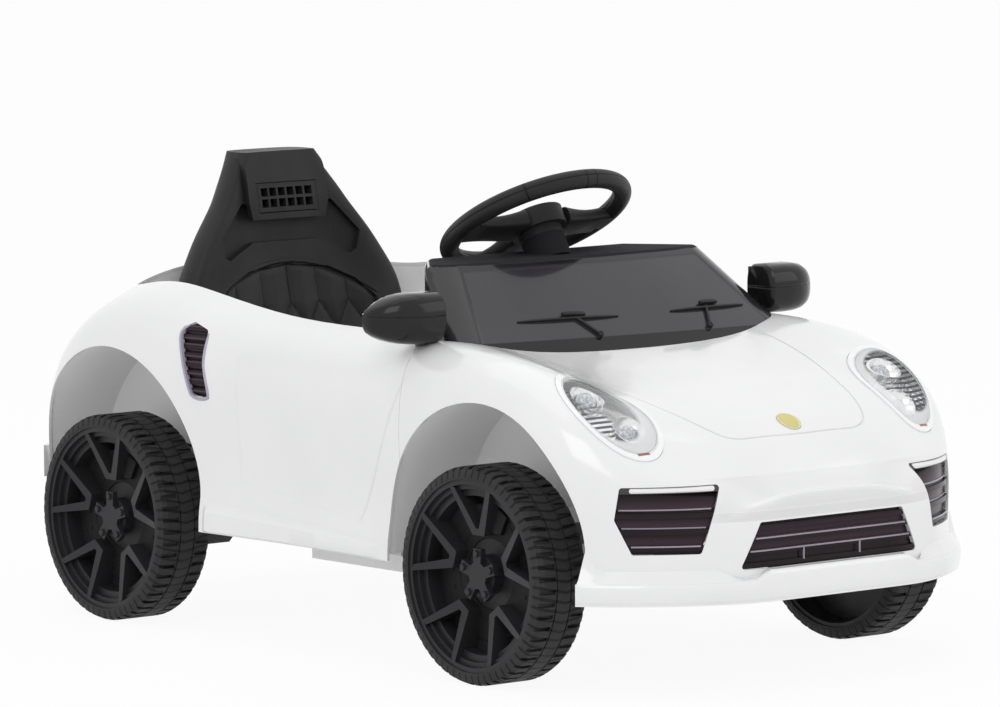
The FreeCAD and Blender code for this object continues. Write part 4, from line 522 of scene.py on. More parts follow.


# Tyres: slanted sipes across the tread and rings on the sidewalls, with painted shade darkening their grooves
tyre = {"front": -0.284, "rear": 0.341, "halfway": (0.03, 0.01), "high": 0.110, "middle": 0.239,
        "tread": (0.0995, 0.0015), "sipes": 66, "slant": 120.0, "sipe": (-0.72, 0.12), "sipeDeep": 0.0016,
        "rings": 1750, "ring": (-0.55, 0.3), "wall": (0.0915, 0.0062, 0.001), "ringDeep": 0.0006,
        "ringPaintedShade": 0.5, "dust": (60, 4.0), "dustShare": 0.4, "dark": (0.024, 0.0235, 0.026, 1),
        "light": (0.034, 0.0335, 0.036, 1), "rough": (0.54, 0.68), "skin": (1100, 0.00012)}


def tyreRubber():
    look = Look("tyreBlack", Specular_IOR_Level=0.2)
    x, y, z = look.axes()
    hub = tyre["rear"] - y.below(*tyre["halfway"]) * (tyre["rear"] - tyre["front"])
    fore = y - hub
    up = z - tyre["high"]
    reach = reachOf(fore, up)
    tread = 1 - reach.below(*tyre["tread"])
    sipe = up.angle(fore) * tyre["sipes"] + abs(abs(x) - tyre["middle"]) * tyre["slant"]
    sipe = sipe.wave().below(*tyre["sipe"]) * tread
    ring = (reach * tyre["rings"]).wave().below(*tyre["ring"]) * (1 - tread) * reach.near(*tyre["wall"])
    dust = look.spread(look.noise(*tyre["dust"]), 0.0, 1.0)
    colour = look.drift(tyre["dark"], tyre["light"], tyre["rough"])
    colour = look.tint(dust * tyre["dustShare"], colour, grey(0.046))
    # Painted shade: the sipes and the sidewall rings are coloured darker
    look.feed("Base Color", look.tint((sipe + ring * tyre["ringPaintedShade"]).least(1.0), colour, grey(0.012)))
    return look.relief(sipe * -tyre["sipeDeep"] - ring * tyre["ringDeep"] + look.skin(*tyre["skin"]))


# Tail lamps: red lens over fine upright ribs, with a clear band across
tail = {"bandShare": 0.14, "bandSoft": 0.001, "bandTint": 0.8, "bandProud": 0.0006, "ribs": 1400,
        "ribProud": 0.0004, "dark": (0.30, 0.008, 0.008, 1), "light": (0.38, 0.014, 0.012, 1),
        "clear": (0.60, 0.20, 0.18, 1), "rough": (0.10, 0.18)}


def tailLens():
    look = Look("tailRed", Coat_Weight=0.7, Coat_Roughness=0.04)
    x, y, z = look.axes()
    low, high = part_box("tail_lamp_left")
    band = z.near((low[2] + high[2]) / 2, (high[2] - low[2]) * tail["bandShare"], tail["bandSoft"])
    rib = (x * tail["ribs"]).wave()
    colour = look.drift(tail["dark"], tail["light"], tail["rough"])
    look.feed("Base Color", look.tint(band * tail["bandTint"], colour, tail["clear"]))
    return look.relief(rib * tail["ribProud"] + band * tail["bandProud"])


# Plain round badge: a brushed disc inside a narrow rim
badge = {"rimShare": 0.40, "rimSoft": 0.0006, "rimProud": 0.0008, "brush": 9000, "brushDeep": 0.00002,
         "dark": (0.62, 0.56, 0.16, 1), "light": (0.70, 0.62, 0.20, 1), "rim": (0.72, 0.68, 0.42, 1),
         "rough": (0.24, 0.36)}


def badgeDisc():
    look = Look("badgeGrey", Coat_Weight=0.4, Coat_Roughness=0.05, Metallic=0.3)
    x, y, z = look.axes()
    low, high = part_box("hood_badge")
    middle = (low + high) / 2
    reach = reachOf(x - middle[0], y - middle[1])
    rim = 1 - reach.below((high[0] - low[0]) * badge["rimShare"], badge["rimSoft"])
    colour = look.drift(badge["dark"], badge["light"], badge["rough"])
    look.feed("Base Color", look.tint(rim, colour, badge["rim"]))
    return look.relief(rim * badge["rimProud"] + (reach * badge["brush"]).wave() * badge["brushDeep"])


# One finish for each of the record's slots, then those that only added pieces wear. A moulded one has its two
# shades, its roughness, and the scale and depth of its skin
coated = {"Coat_Weight": 0.3, "Coat_Roughness": 0.1}
finishes = {
    "body_white": glossShell(),
    "pan_white": moulded("satinWhitePan", (0.84, 0.84, 0.85, 1), (0.88, 0.88, 0.885, 1), (0.36, 0.48),
                         900, 0.00006),
    "well_white": moulded("satinWhiteWell", (0.91, 0.91, 0.915, 1), (0.94, 0.94, 0.943, 1), (0.40, 0.52),
                          900, 0.00006),
    "screen_black": glossScreen(),
    "dash_black": moulded("grainedDash", grey(0.016), grey(0.024), (0.46, 0.58), 1400, 0.00012,
                          Specular_IOR_Level=0.25),
    "seat_black": seatShell(),
    "badge_grey": badgeDisc(),
    "grille_dark": slattedGrille(),
    "wheel_black": wheelLeather(),
    "button_grey": moulded("buttonGrey", grey(0.09), grey(0.12), (0.3, 0.4), 900, 0.00003),
    "button_red": moulded("buttonRed", (0.30, 0.012, 0.010, 1), (0.36, 0.016, 0.013, 1), (0.25, 0.35),
                          900, 0.00003),
    "steel": moulded("zincSteel", grey(0.42), grey(0.56), (0.28, 0.42), 1200, 0.00002, Metallic=1.0),
    "steel_black": moulded("coatedSteel", grey(0.014), grey(0.022), (0.36, 0.5), 800, 0.00006),
    "drive_black": moulded("caseBlack", grey(0.008), grey(0.013), (0.5, 0.62), 1100, 0.0001,
                           Specular_IOR_Level=0.2),
    "motor_steel": moulded("motorCan", grey(0.36), grey(0.46), (0.3, 0.42), 1200, 0.00002, Metallic=1.0),
    "battery_grey": moulded("batteryCase", grey(0.04), grey(0.06), (0.42, 0.55), 1000, 0.00008),
    "lamp_chrome": lampSilver(),
    "lamp_clear": lampCover(),
    "strip_white": lightBar(),
    "lamp_red": tailLens(),
    "mirror_black": mirrorGloss(),
    "mirror_silver": moulded("mirrorSilver", grey(0.76), grey(0.82), (0.03, 0.07), 300, 0.00001,
                             Metallic=1.0),
    "tyre_black": tyreRubber(),
    "rim_black": moulded("rimBlack", (0.020, 0.020, 0.022, 1), (0.027, 0.027, 0.030, 1), (0.36, 0.48),
                         1200, 0.0001, Specular_IOR_Level=0.25),
    "projector": projectorGlass(),
    "seatPanel": panelFinish(),
    # Pale plum on the slat edges and dividers is a painted highlight
    "paintedSlatHighlight": moulded("paintedSlatHighlight", (0.26, 0.22, 0.28, 1), (0.36, 0.31, 0.38, 1), (0.22, 0.32),
                        700, 0.00002, **coated),
    "ventFrame": moulded("ventFrame", (0.36, 0.33, 0.42, 1), (0.44, 0.41, 0.50, 1), (0.25, 0.36),
                         600, 0.00003, **coated),
}
for entry in frame["record"]["subparts"]:
    mesh = nodes[entry["node"]].data
    mesh.materials.clear()
    mesh.materials.append(finishes[entry["material_slot"]].material)
print("finishes:", len(finishes))

# Points nearer than this are one, and edges sharper than this stay sharp
mergeGap = 0.000005
sharpAngle = math.radians(35)


# A mesh from bmesh, with its finish, riding on a body
def settle(name, work, finish, body):
    bmesh.ops.remove_doubles(work, verts=work.verts, dist=mergeGap)
    bmesh.ops.recalc_face_normals(work, faces=work.faces)
    mesh = bpy.data.meshes.new(name)
    work.to_mesh(mesh)
    work.free()
    return dress(name, mesh, finish, body)


def dress(name, mesh, finish, body):
    mesh.materials.clear()
    mesh.materials.append(finishes[finish].material)
    obj = bpy.data.objects.new(name, mesh)
    scene.collection.objects.link(obj)
    for polygon in mesh.polygons:
        polygon.use_smooth = True
    mesh.set_sharp_from_angle(angle=sharpAngle)
    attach(obj, body)
    return obj


def frameOf(origin, axis, toward):
    axis = axis.normalized()
    toward = (toward - axis * toward.dot(axis)).normalized()
    place = Matrix((toward, axis.cross(toward), axis)).transposed().to_4x4()
    place.translation = Vector(origin)
    return place


# A closed turned form: (radius, height) pairs about the frame's third axis
def turned(work, profile, place, steps):
    turns = [step * math.tau / steps for step in range(steps)]
    rings = []
    for radius, height in profile:
        circle = [Vector((radius * math.cos(turn), radius * math.sin(turn), height)) for turn in turns]
        rings.append([work.verts.new(place @ spot) for spot in (circle if radius else circle[:1])])
    for low, high in zip(rings, rings[1:]):
        for step in range(steps):
            after = (step + 1) % steps
            if len(low) == 1:
                work.faces.new((low[0], high[step], high[after]))
            elif len(high) == 1:
                work.faces.new((low[step], low[after], high[0]))
            else:
                work.faces.new((low[step], low[after], high[after], high[step]))


# Skins a row of rings of points: capped at both ends, or joined round into a loop
def skinRings(work, rings, loop=False):
    for first, second in zip(rings, rings[1:] + rings[:1] if loop else rings[1:]):
        count = len(first)
        for index in range(count):
            after = (index + 1) % count
            work.faces.new((first[index], first[after], second[after], second[index]))
    if not loop:
        work.faces.new(rings[0])
        work.faces.new(rings[-1][::-1])


# A bar with rounded edges along stations: place, side and up directions, half width, low and high
def rounded(work, stations, corner=0.35, bits=3):
    rings = []
    for place, side, up, half, low, high in stations:
        radius = corner * min(half, (high - low) / 2)
        ring = []
        for quarter in range(4):
            toCorner = (quarter + 0.5) * math.pi / 2
            x = math.copysign(half - radius, math.cos(toCorner))
            y = (low + high) / 2 + math.copysign((high - low) / 2 - radius, math.sin(toCorner))
            for bit in range(bits + 1):
                turn = (quarter + bit / bits) * math.pi / 2
                across = side * (x + radius * math.cos(turn))
                upward = up * (y + radius * math.sin(turn))
                ring.append(work.verts.new(place + across + upward))
        rings.append(ring)
    skinRings(work, rings)


def skinOf(node):
    mesh = nodes[node].data
    points = [vert.co.copy() for vert in mesh.vertices]
    return BVHTree.FromPolygons(points, [list(face.vertices) for face in mesh.polygons])


bodySkins = [skinOf("front_body"), skinOf("rear_body")]

# Nearer the middle than this, a ray has passed under the body's side
leastSide = 0.15


# How far out the body's side stands at a place, or None below its edge
def sideLevel(side, y, z):
    hits = [skin.ray_cast(Vector((side * outside, y, z)), -side * axisX)[0] for skin in bodySkins]
    levels = [abs(hit.x) for hit in hits if hit]
    return max(levels) if levels and max(levels) > leastSide else None


# A rounded bar laid on a skin: its two ends are dropped onto it along a direction
def layBar(work, skin, start, end, drop, half, low, high, taper=0.0, bits=8):
    hits = []
    for step in range(bits + 1):
        hit, normal = skin.ray_cast(start.lerp(end, step / bits), drop)[:2]
        if hit:
            hits.append((hit, normal, step / bits))
    run = (hits[-1][0] - hits[0][0]).normalized()
    stations = []
    for hit, normal, share in hits:
        up = (normal - run * normal.dot(run)).normalized()
        thin = 1 - taper * abs(share * 2 - 1) ** 3
        stations.append((hit, run.cross(up), up, half * thin, low, low + (high - low) * thin))
    rounded(work, stations)


# Wipers lie on the screen. Each bar's ends are (x, z) on its face; then half width, low, high and taper;
# the boss's profile is (share of its radius, height)
wiper = {"Right": {"blade": ((-0.134, 0.3479), (-0.0056, 0.3462)),
                   "bracket": ((-0.0765, 0.3505), (-0.0484, 0.3494)),
                   "arm": ((-0.0615, 0.3479), (-0.0443, 0.3306))},
         "Left": {"blade": ((0.067, 0.3465), (0.1712, 0.3458)),
                  "bracket": ((0.1108, 0.3503), (0.1346, 0.3499)),
                  "arm": ((0.1175, 0.3476), (0.1051, 0.3296))},
         "bars": {"blade": (0.0012, -0.0004, 0.0034, 0.45), "bracket": (0.0021, 0.001, 0.0056, 0.2),
                  "arm": (0.0014, -0.0004, 0.0034)}, "boss": 0.0034, "bossSteps": 28,
         "bossShares": ((0, -0.001), (1, -0.001), (1, 0.0032), (0.86, 0.0042), (0.5, 0.0042),
                        (0.44, 0.0036), (0, 0.0036))}


# A place ahead of the car, in line with one on the screen, the grille or the lip
def ahead(x, z):
    return Vector((x, -outside, z))


def buildWipers():
    skin = skinOf("windscreen")
    for side, end in sides:
        work = bmesh.new()
        for bar, sizes in wiper["bars"].items():
            first, second = wiper[end][bar]
            layBar(work, skin, ahead(*first), ahead(*second), axisY, *sizes)
        hit, normal = skin.ray_cast(ahead(*wiper[end]["arm"][1]), axisY)[:2]
        profile = [(wiper["boss"] * share, high) for share, high in wiper["bossShares"]]
        turned(work, profile, frameOf(hit, normal, axisX), wiper["bossSteps"])
        settle("wiper" + end, work, "dash_black", "car")
    print("wipers:", len(sides))


# Two projector lenses in each lamp, in their silvered bowls; the ring's profile is (past the lens, height)
lens = {"size": 0.0105, "foot": -0.0005, "rim": 0.003, "roomShare": 0.75, "domeShare": 0.8, "domeBits": 10,
        "clear": 0.001, "above": 0.05, "lift": 0.0005, "steps": 36,
        "ring": ((0.0003, -0.0005), (0.0026, -0.0005), (0.0026, 0.0024), (0.0016, 0.0036), (0.0003, 0.0024),
                 (0.0003, -0.0005))}


def buildProjectors():
    for side, end in sides:
        flip = Vector((side, 1, 1))
        out, run, across = (way * flip for way in (lampOut, lampRun, lampAcross))
        silverSkin = skinOf("headlamp_reflector_" + end.lower())
        coverSkin = skinOf("headlamp_cover_" + end.lower())
        glass = bmesh.new()
        rings = bmesh.new()
        for along, over in lamp["bowls"]:
            foot = run * along * lamp["long"] * 2 + across * over * lamp["short"] * 2
            foot = Vector(lamp["centre"]) * flip + foot
            bottom = silverSkin.ray_cast(foot + out * lens["above"], -out)[0]
            lid = coverSkin.ray_cast(bottom + out * lens["lift"], out)[0]
            room = (lid - bottom).length - lens["clear"]
            tall = min(room * lens["roomShare"], lens["size"] * lens["domeShare"])
            profile = [(0, lens["foot"]), (lens["size"], lens["foot"])]
            for bit in range(lens["domeBits"]):
                turn = bit / lens["domeBits"] * math.pi / 2
                profile.append((lens["size"] * math.cos(turn), lens["rim"] + tall * math.sin(turn)))
            profile.append((0, lens["rim"] + tall))
            place = frameOf(bottom, out, run)
            turned(glass, profile, place, lens["steps"])
            turned(rings, [(lens["size"] + past, high) for past, high in lens["ring"]], place, lens["steps"])
        settle("projector" + end, glass, "projector", "car")
        settle("projectorRing" + end, rings, "steel", "car")
    print("projectors:", len(sides) * len(lamp["bowls"]))


# Geometry Nodes: flat-headed bolts on a ring
def boltTree():
    tree = bpy.data.node_groups.new("boltRing", "GeometryNodeTree")
    face = tree.interface
    face.new_socket("Geometry", in_out="OUTPUT", socket_type="NodeSocketGeometry")
    kinds = {"Count": "Int", "Ring": "Float", "Head": "Float", "Top": "Float", "High": "Float",
             "Sides": "Int", "Finish": "Material"}
    sockets = {}
    for name, kind in kinds.items():
        sockets[name] = face.new_socket(name, in_out="INPUT", socket_type="NodeSocket" + kind).identifier
    given = tree.nodes.new("NodeGroupInput").outputs
    outward = tree.nodes.new("NodeGroupOutput")

    def make(kind, settings, links):
        node = tree.nodes.new("GeometryNode" + kind)
        for key, value in settings.items():
            setattr(node, key, value)
        for key, source in links.items():
            tree.links.new(source, node.inputs[key])
        return node.outputs[0]

    ring = make("MeshCircle", {"fill_type": "NONE"}, {"Vertices": given["Count"], "Radius": given["Ring"]})
    head = make("MeshCone", {"fill_type": "NGON"}, {"Vertices": given["Sides"], "Radius Top": given["Top"],
                                                    "Radius Bottom": given["Head"], "Depth": given["High"]})
    spread = make("InstanceOnPoints", {}, {"Points": ring, "Instance": head})
    real = make("RealizeInstances", {}, {"Geometry": spread})
    painted = make("SetMaterial", {}, {"Geometry": real, "Material": given["Finish"]})
    tree.links.new(painted, outward.inputs[0])
    return tree, sockets


def growBolts(name, tree, sockets, sizes, finish):
    carrier = bpy.data.objects.new(name + "Carrier", bpy.data.meshes.new(name + "Carrier"))
    scene.collection.objects.link(carrier)
    modifier = carrier.modifiers.new("bolts", "NODES")
    modifier.node_group = tree
    for key, value in sizes.items():
        modifier[sockets[key]] = value
    modifier[sockets["Finish"]] = finishes[finish].material
    mesh = bpy.data.meshes.new_from_object(carrier.evaluated_get(bpy.context.evaluated_depsgraph_get()))
    carrier.modifiers.remove(modifier)
    bpy.data.objects.remove(carrier)
    return mesh


# Moulded brake disc and caliper behind the spokes, and five bolts in the star cap;
# the caliper's half width and height are given for its ends and for the rest of it
brake = {"inner": 0.036, "outer": 0.068, "back": 0.0015, "face": 0.0052, "edge": 0.0006, "hat": 0.012,
         "hatSlope": 0.001, "hatDeep": 0.0012, "steps": 72, "caliperFrom": -0.5, "caliperTo": 0.5,
         "caliperRing": 0.058, "caliperBits": 8, "caliperEnd": (0.0105, 0.003, 0.010),
         "caliper": (0.0135, 0.003, 0.0125), "caliperCorner": 0.5,
         "holes": {"Count": 20, "Ring": 0.058, "Head": 0.0023, "Top": 0.0020, "High": 0.0006, "Sides": 12},
         "holeLift": 0.0002, "boltSunk": 0.0014,
         "bolts": {"Count": 5, "Ring": 0.022, "Head": 0.0042, "Top": 0.003444, "High": 0.004, "Sides": 6}}


def discProfile():
    inner, outer, back, face, edge = (brake[key] for key in ("inner", "outer", "back", "face", "edge"))
    hat = inner + brake["hat"]
    sunk = face - brake["hatDeep"]
    return ((inner, back), (outer, back), (outer, face - edge), (outer - edge, face), (hat, face),
            (hat - brake["hatSlope"], sunk), (inner + edge, sunk), (inner, sunk - edge), (inner, back))


def buildBrakes(tree, sockets):
    corners = ("front_right", "front_left", "rear_right", "rear_left")
    for corner in corners:
        body = "wheel_" + corner
        label = corner.title().replace("_", "")
        out = axisX if corner.endswith("left") else -axisX
        low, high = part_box("rim_" + corner)
        middle = (low + high) / 2
        place = frameOf(middle, out, axisZ)
        work = bmesh.new()
        turned(work, discProfile(), place, brake["steps"])
        stations = []
        for bit in range(brake["caliperBits"] + 1):
            share = bit / brake["caliperBits"]
            turn = brake["caliperFrom"] + (brake["caliperTo"] - brake["caliperFrom"]) * share
            radial = place.to_3x3() @ Vector((math.cos(turn), math.sin(turn), 0))
            sizes = brake["caliper"] if 0 < bit < brake["caliperBits"] else brake["caliperEnd"]
            stations.append((middle + radial * brake["caliperRing"], radial, out, *sizes))
        rounded(work, stations, brake["caliperCorner"])
        settle("brake" + label, work, "drive_black", body)
        cap = max((end - middle).dot(out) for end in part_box("hub_cap_" + corner))
        rows = (("brakeHoles", "holes", "drive_black", brake["face"] + brake["holeLift"]),
                ("capBolts", "bolts", "rim_black", cap - brake["boltSunk"]))
        for name, sizes, finish, lift in rows:
            heads = growBolts(name + label, tree, sockets, brake[sizes], finish)
            heads.transform(place @ Matrix.Translation((0, 0, lift)))
            dress(name + label, heads, finish, body)
    print("brakes:", len(corners))


# White lining that hangs from the edge of the cockpit opening, and ends on the rear wheel wells
lining = {"half": 0.204, "corner": 0.072, "front": -0.060, "rear": 0.406, "low": 0.150, "inner": 0.0004,
          "outer": 0.0022, "sunk": 0.0012, "least": 0.004, "archAt": 0.326, "archHigh": 0.140,
          "archReach": 0.160, "archFrom": 0.12, "sideBits": 30, "cornerBits": 16, "rearBits": 8}


# Half of the lining's course in plan, then the other half: place and outward direction
def liningPath():
    straight = lining["half"] - lining["corner"]
    turnAt = lining["rear"] - lining["corner"]
    path = []
    for bit in range(lining["sideBits"] + 1):
        y = lining["front"] + (turnAt - lining["front"]) * bit / lining["sideBits"]
        path.append((Vector((lining["half"], y, outside)), axisX))
    for bit in range(1, lining["cornerBits"] + 1):
        turn = bit / lining["cornerBits"] * math.pi / 2
        out = Vector((math.cos(turn), math.sin(turn), 0))
        path.append((Vector((straight, turnAt, outside)) + out * lining["corner"], out))
    for bit in range(1, lining["rearBits"] + 1):
        path.append((Vector((straight * (1 - bit / lining["rearBits"]), lining["rear"], outside)), axisY))
    flip = Vector((-1, 1, 1))
    return path + [(spot * flip, out * flip) for spot, out in path[-2::-1]]


def buildLining():
    work = bmesh.new()
    rings = []
    for spot, out in liningPath():
        tops = []
        for share in (lining["inner"], lining["outer"]):
            foot = spot + out * share
            hits = [skin.ray_cast(foot, -axisZ)[0] for skin in bodySkins]
            tops.append(Vector((foot.x, foot.y, max(hit.z for hit in hits if hit) - lining["sunk"])))
        low = lining["low"]
        arch = lining["archReach"] ** 2 - (spot.y - lining["archAt"]) ** 2
        if arch > 0 and abs(spot.x) > lining["archFrom"]:
            low = max(low, lining["archHigh"] + math.sqrt(arch))
        low = min(low, min(top.z for top in tops) - lining["least"])
        ring = tops + [Vector((top.x, top.y, low)) for top in tops[::-1]]
        rings.append([work.verts.new(point) for point in ring])
    skinRings(work, rings)
    settle("cockpitLining", work, "well_white", "car")
    print("lining:", len(rings), "stations")


# Lavender frames round the side vents: a smooth ring through the outline's corners, on the body's skin;
# its section is (share of the way across, lift)
vent = {"start": (0.156, 0.253), "long": 0.049, "high": 0.076, "inside": -0.0022, "outside": 0.0022,
        "past": 0.0012,
        "section": ((0.0, -0.004), (0.0, 0.00084), (0.25, 0.0014), (0.6, 0.0014), (1.0, -0.0006)),
        "outlineShares": ((0.0, 0.0), (0.55, 0.02), (1.04, 0.78), (1.02, 0.93), (0.78, 1.0), (0.30, 0.91),
                          (0.21, 0.80), (0.19, 0.45)), "bits": 8, "bendShare": 0.55}


# A closed loop through the points, part of the way from straight runs to a smooth curve
def smoothLoop(points, bits, bendShare):
    loop = []
    count = len(points)
    for index in range(count):
        before, here, after, past = (Vector(points[(index + shift) % count]) for shift in (-1, 0, 1, 2))
        for bit in range(bits):
            share = bit / bits
            curve = here * 2 + (after - before) * share
            curve += (before * 2 - here * 5 + after * 4 - past) * share ** 2
            curve += (here * 3 - before - after * 3 + past) * share ** 3
            loop.append(here.lerp(after, share).lerp(curve / 2, bendShare))
    return loop


def buildVentFrames():
    startY, startZ = vent["start"]
    corners = [(startY + vent["long"] * along, startZ + vent["high"] * up)
               for along, up in vent["outlineShares"]]
    loop = smoothLoop(corners, vent["bits"], vent["bendShare"])
    for side, end in sides:
        work = bmesh.new()
        rings = []
        for index, spot in enumerate(loop):
            run = (loop[(index + 1) % len(loop)] - loop[index - 1]).normalized()
            out = Vector((run.y, -run.x))
            level = sideLevel(side, *(spot + out * (vent["outside"] + vent["past"])))
            ring = []
            for share, lift in vent["section"]:
                place = spot + out * (vent["inside"] + (vent["outside"] - vent["inside"]) * share)
                ring.append(work.verts.new((side * (level + lift), place.x, place.y)))
            rings.append(ring)
        skinRings(work, rings, loop=True)
        settle("ventFrame" + end, work, "ventFrame", "car")
    print("vent frames:", len(sides))


# Broad padded covers over the spokes of the steering wheel
spoke = {"places": (0.06, math.pi - 0.06, math.pi / 2), "hubHalf": (0.024, 0.024, 0.020), "rimHalf": 0.016,
         "from": 0.026, "to": 0.089, "low": -0.014, "lowRise": 0.005, "high": 0.005, "dip": 0.003,
         "flare": 0.006, "narrowing": 1.6, "flaring": 3, "bits": 8, "corner": 0.7}


def buildSpokes():
    axis = Vector(steer["axis"]).normalized()
    place = frameOf(steer["centre"], axis, axisX)
    work = bmesh.new()
    for turn, hubHalf in zip(spoke["places"], spoke["hubHalf"]):
        run = place.to_3x3() @ Vector((math.cos(turn), math.sin(turn), 0))
        stations = []
        for bit in range(spoke["bits"] + 1):
            share = bit / spoke["bits"]
            reach = spoke["from"] + (spoke["to"] - spoke["from"]) * share
            half = spoke["rimHalf"] + (hubHalf - spoke["rimHalf"]) * (1 - share) ** spoke["narrowing"]
            half += spoke["flare"] * share ** spoke["flaring"]
            low = spoke["low"] + spoke["lowRise"] * share
            high = spoke["high"] - spoke["dip"] * math.sin(share * math.pi)
            stations.append((place.translation + run * reach, axis.cross(run), axis, half, low, high))
        rounded(work, stations, spoke["corner"])
    settle("spokeCovers", work, "wheel_black", "steering")
    print("spoke covers:", len(spoke["places"]))


# Pillows of the seat's panels: what lies under them, the skin left in a groove and how they round off
pillow = {"sunk": 0.001, "skin": 0.0004, "grooveShare": 0.9, "roundness": 0.45}


def foldBack(value, span):
    value = abs(value) % (2 * span)
    return min(value, 2 * span - value)


# Height of a pillow as a share, from how far a place is from the nearest groove
def pillowShare(away):
    return min(1.0, away / (halfPitch * pillow["grooveShare"])) ** pillow["roundness"]


# Rounds a panel off towards its rim, from how far a place is from each of its edges
def rimShare(gaps, rim):
    return math.sqrt(max(0.0, min(1.0, *(gap / rim for gap in gaps))))


# Closes two matching grids of points, one behind the other, into a solid skin
def closeGrids(work, front, back):
    rows = len(front[0])
    for first, second, farFirst, farSecond in zip(front, front[1:], back, back[1:]):
        for row in range(rows - 1):
            work.faces.new((first[row], second[row], second[row + 1], first[row + 1]))
            work.faces.new((farFirst[row], farFirst[row + 1], farSecond[row + 1], farSecond[row]))
        work.faces.new((first[0], farFirst[0], farSecond[0], second[0]))
        work.faces.new((first[-1], second[-1], farSecond[-1], farFirst[-1]))
    for near, far in ((front[0], back[0]), (front[-1], back[-1])):
        for row in range(rows - 1):
            work.faces.new((near[row], near[row + 1], far[row + 1], far[row]))


# Lays a panel on a skin: each column lists places and heights, and a ray from each place finds the skin
def layPanel(name, skin, columns, toward):
    work = bmesh.new()
    front, back = [], []
    for column in columns:
        front.append([])
        back.append([])
        for place, lift in column:
            hit = skin.ray_cast(place, toward)[0]
            front[-1].append(work.verts.new(hit - toward * (pillow["skin"] + lift)))
            back[-1].append(work.verts.new(hit + toward * pillow["sunk"]))
    closeGrids(work, front, back)
    settle(name, work, "seatPanel", "car")
    print(name, "points:", len(columns) * len(columns[0]))


# Rays that look for the seat back start here, ahead of it
aheadOfSeat = 0.1


# Quilting moulded on the seat back as a solid skin: pillows between grooves
def buildQuilting():
    columns = []
    for column in range(quilt["columns"]):
        x = quilt["half"] * (2 * column / (quilt["columns"] - 1) - 1)
        top = quilt["archHigh"] - quilt["archDrop"] * x * x
        columns.append([])
        for row in range(quilt["rows"]):
            z = quilt["low"] + (top - quilt["low"]) * row / (quilt["rows"] - 1)
            split = foldBack(max(0.0, quilt["splitHigh"] - z) * quilt["slope"], halfPitch)
            rim = rimShare((quilt["half"] - abs(x), top - z, z - quilt["low"]), quilt["rim"])
            lift = quilt["deep"] * rim * pillowShare(abs(foldBack(x, halfPitch) - split))
            columns[-1].append((Vector((x, aheadOfSeat, z)), lift))
    layPanel("quiltedPanel", skinOf("seat_back"), columns, axisY)


# Ribbed panel moulded into the top of the seat base, in line with the quilting above it
seatRibs = {"half": 0.112, "edge": 0.020, "gap": 0.012, "gapHigh": 0.010, "crown": 0.0065, "corner": 0.030,
            "rim": 0.010, "floorShare": 0.35, "columns": 121, "rows": 72}


def buildRibs():
    low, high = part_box("seat_base")
    backFoot = Vector((0, aheadOfSeat, high[2] + seatRibs["gapHigh"]))
    rear = skinOf("seat_back").ray_cast(backFoot, axisY)[0].y - seatRibs["gap"]
    columns = []
    for column in range(seatRibs["columns"]):
        x = seatRibs["half"] * (2 * column / (seatRibs["columns"] - 1) - 1)
        side = max(0.0, abs(x) - seatRibs["half"] + seatRibs["corner"])
        draw = seatRibs["corner"] - math.sqrt(max(0.0, seatRibs["corner"] ** 2 - side ** 2))
        fore = low[1] + seatRibs["edge"] + draw
        columns.append([])
        for row in range(seatRibs["rows"]):
            y = fore + (rear - fore) * row / (seatRibs["rows"] - 1)
            rim = rimShare((seatRibs["half"] - abs(x), y - fore, rear - y), seatRibs["rim"])
            rib = seatRibs["floorShare"] + (1 - seatRibs["floorShare"]) * pillowShare(foldBack(x, halfPitch))
            columns[-1].append((Vector((x, y, outside)), seatRibs["crown"] * rim * rib))
    layPanel("ribbedPanel", skinOf("seat_base"), columns, -axisZ)


# Sill mouldings: a proud step along the foot of each door with a sloping ledge; a section is (height, share
# of the step that it stands out, how far it is sunk), in slopes round the ledge and in metres above the foot
sill = {"from": -0.128, "to": 0.1655, "high": 0.1315, "rise": 0.048, "low": 0.1130, "proud": 0.0095,
        "frontShare": 0.3, "fade": 0.018, "stations": 72, "slopeShare": 0.62, "search": 0.0005,
        "ledge": ((1.0, 0.0, 0.0004), (0.6, 0.14, 0.0), (-0.5, 0.88, 0.0), (-0.8, 1.0, 0.0)),
        "foot": ((0.0015, 0.96, 0.0), (0.0, 0.80, 0.0), (0.0, 0.0, 0.002)), "back": ((0.7, 0.0, 0.002),)}


def sillSection(side, y):
    along = (y - sill["from"]) / (sill["to"] - sill["from"])
    ledge = sill["high"] + sill["rise"] * y
    swell = sill["proud"] * (sill["frontShare"] + (1 - sill["frontShare"]) * along)
    slope = swell * sill["slopeShare"]
    ends = min(1.0, (y - sill["from"]) / sill["fade"], (sill["to"] - y) / sill["fade"])
    swell *= math.sin(ends * math.pi / 2)
    foot = sill["low"]
    while sideLevel(side, y, foot) is None:
        foot += sill["search"]
    section = []
    for part, start, scale in (("ledge", ledge, slope), ("foot", foot, 1.0), ("back", ledge, slope)):
        for high, share, sunk in sill[part]:
            z = start + scale * high
            section.append((side * (sideLevel(side, y, z) + swell * share - sunk), y, z))
    return section


def buildSills():
    for side, end in sides:
        work = bmesh.new()
        rings = []
        for step in range(sill["stations"] + 1):
            y = sill["from"] + (sill["to"] - sill["from"]) * step / sill["stations"]
            rings.append([work.verts.new(spot) for spot in sillSection(side, y)])
        skinRings(work, rings)
        settle("sill" + end, work, "body_white", "car")
    print("sills:", len(sides))


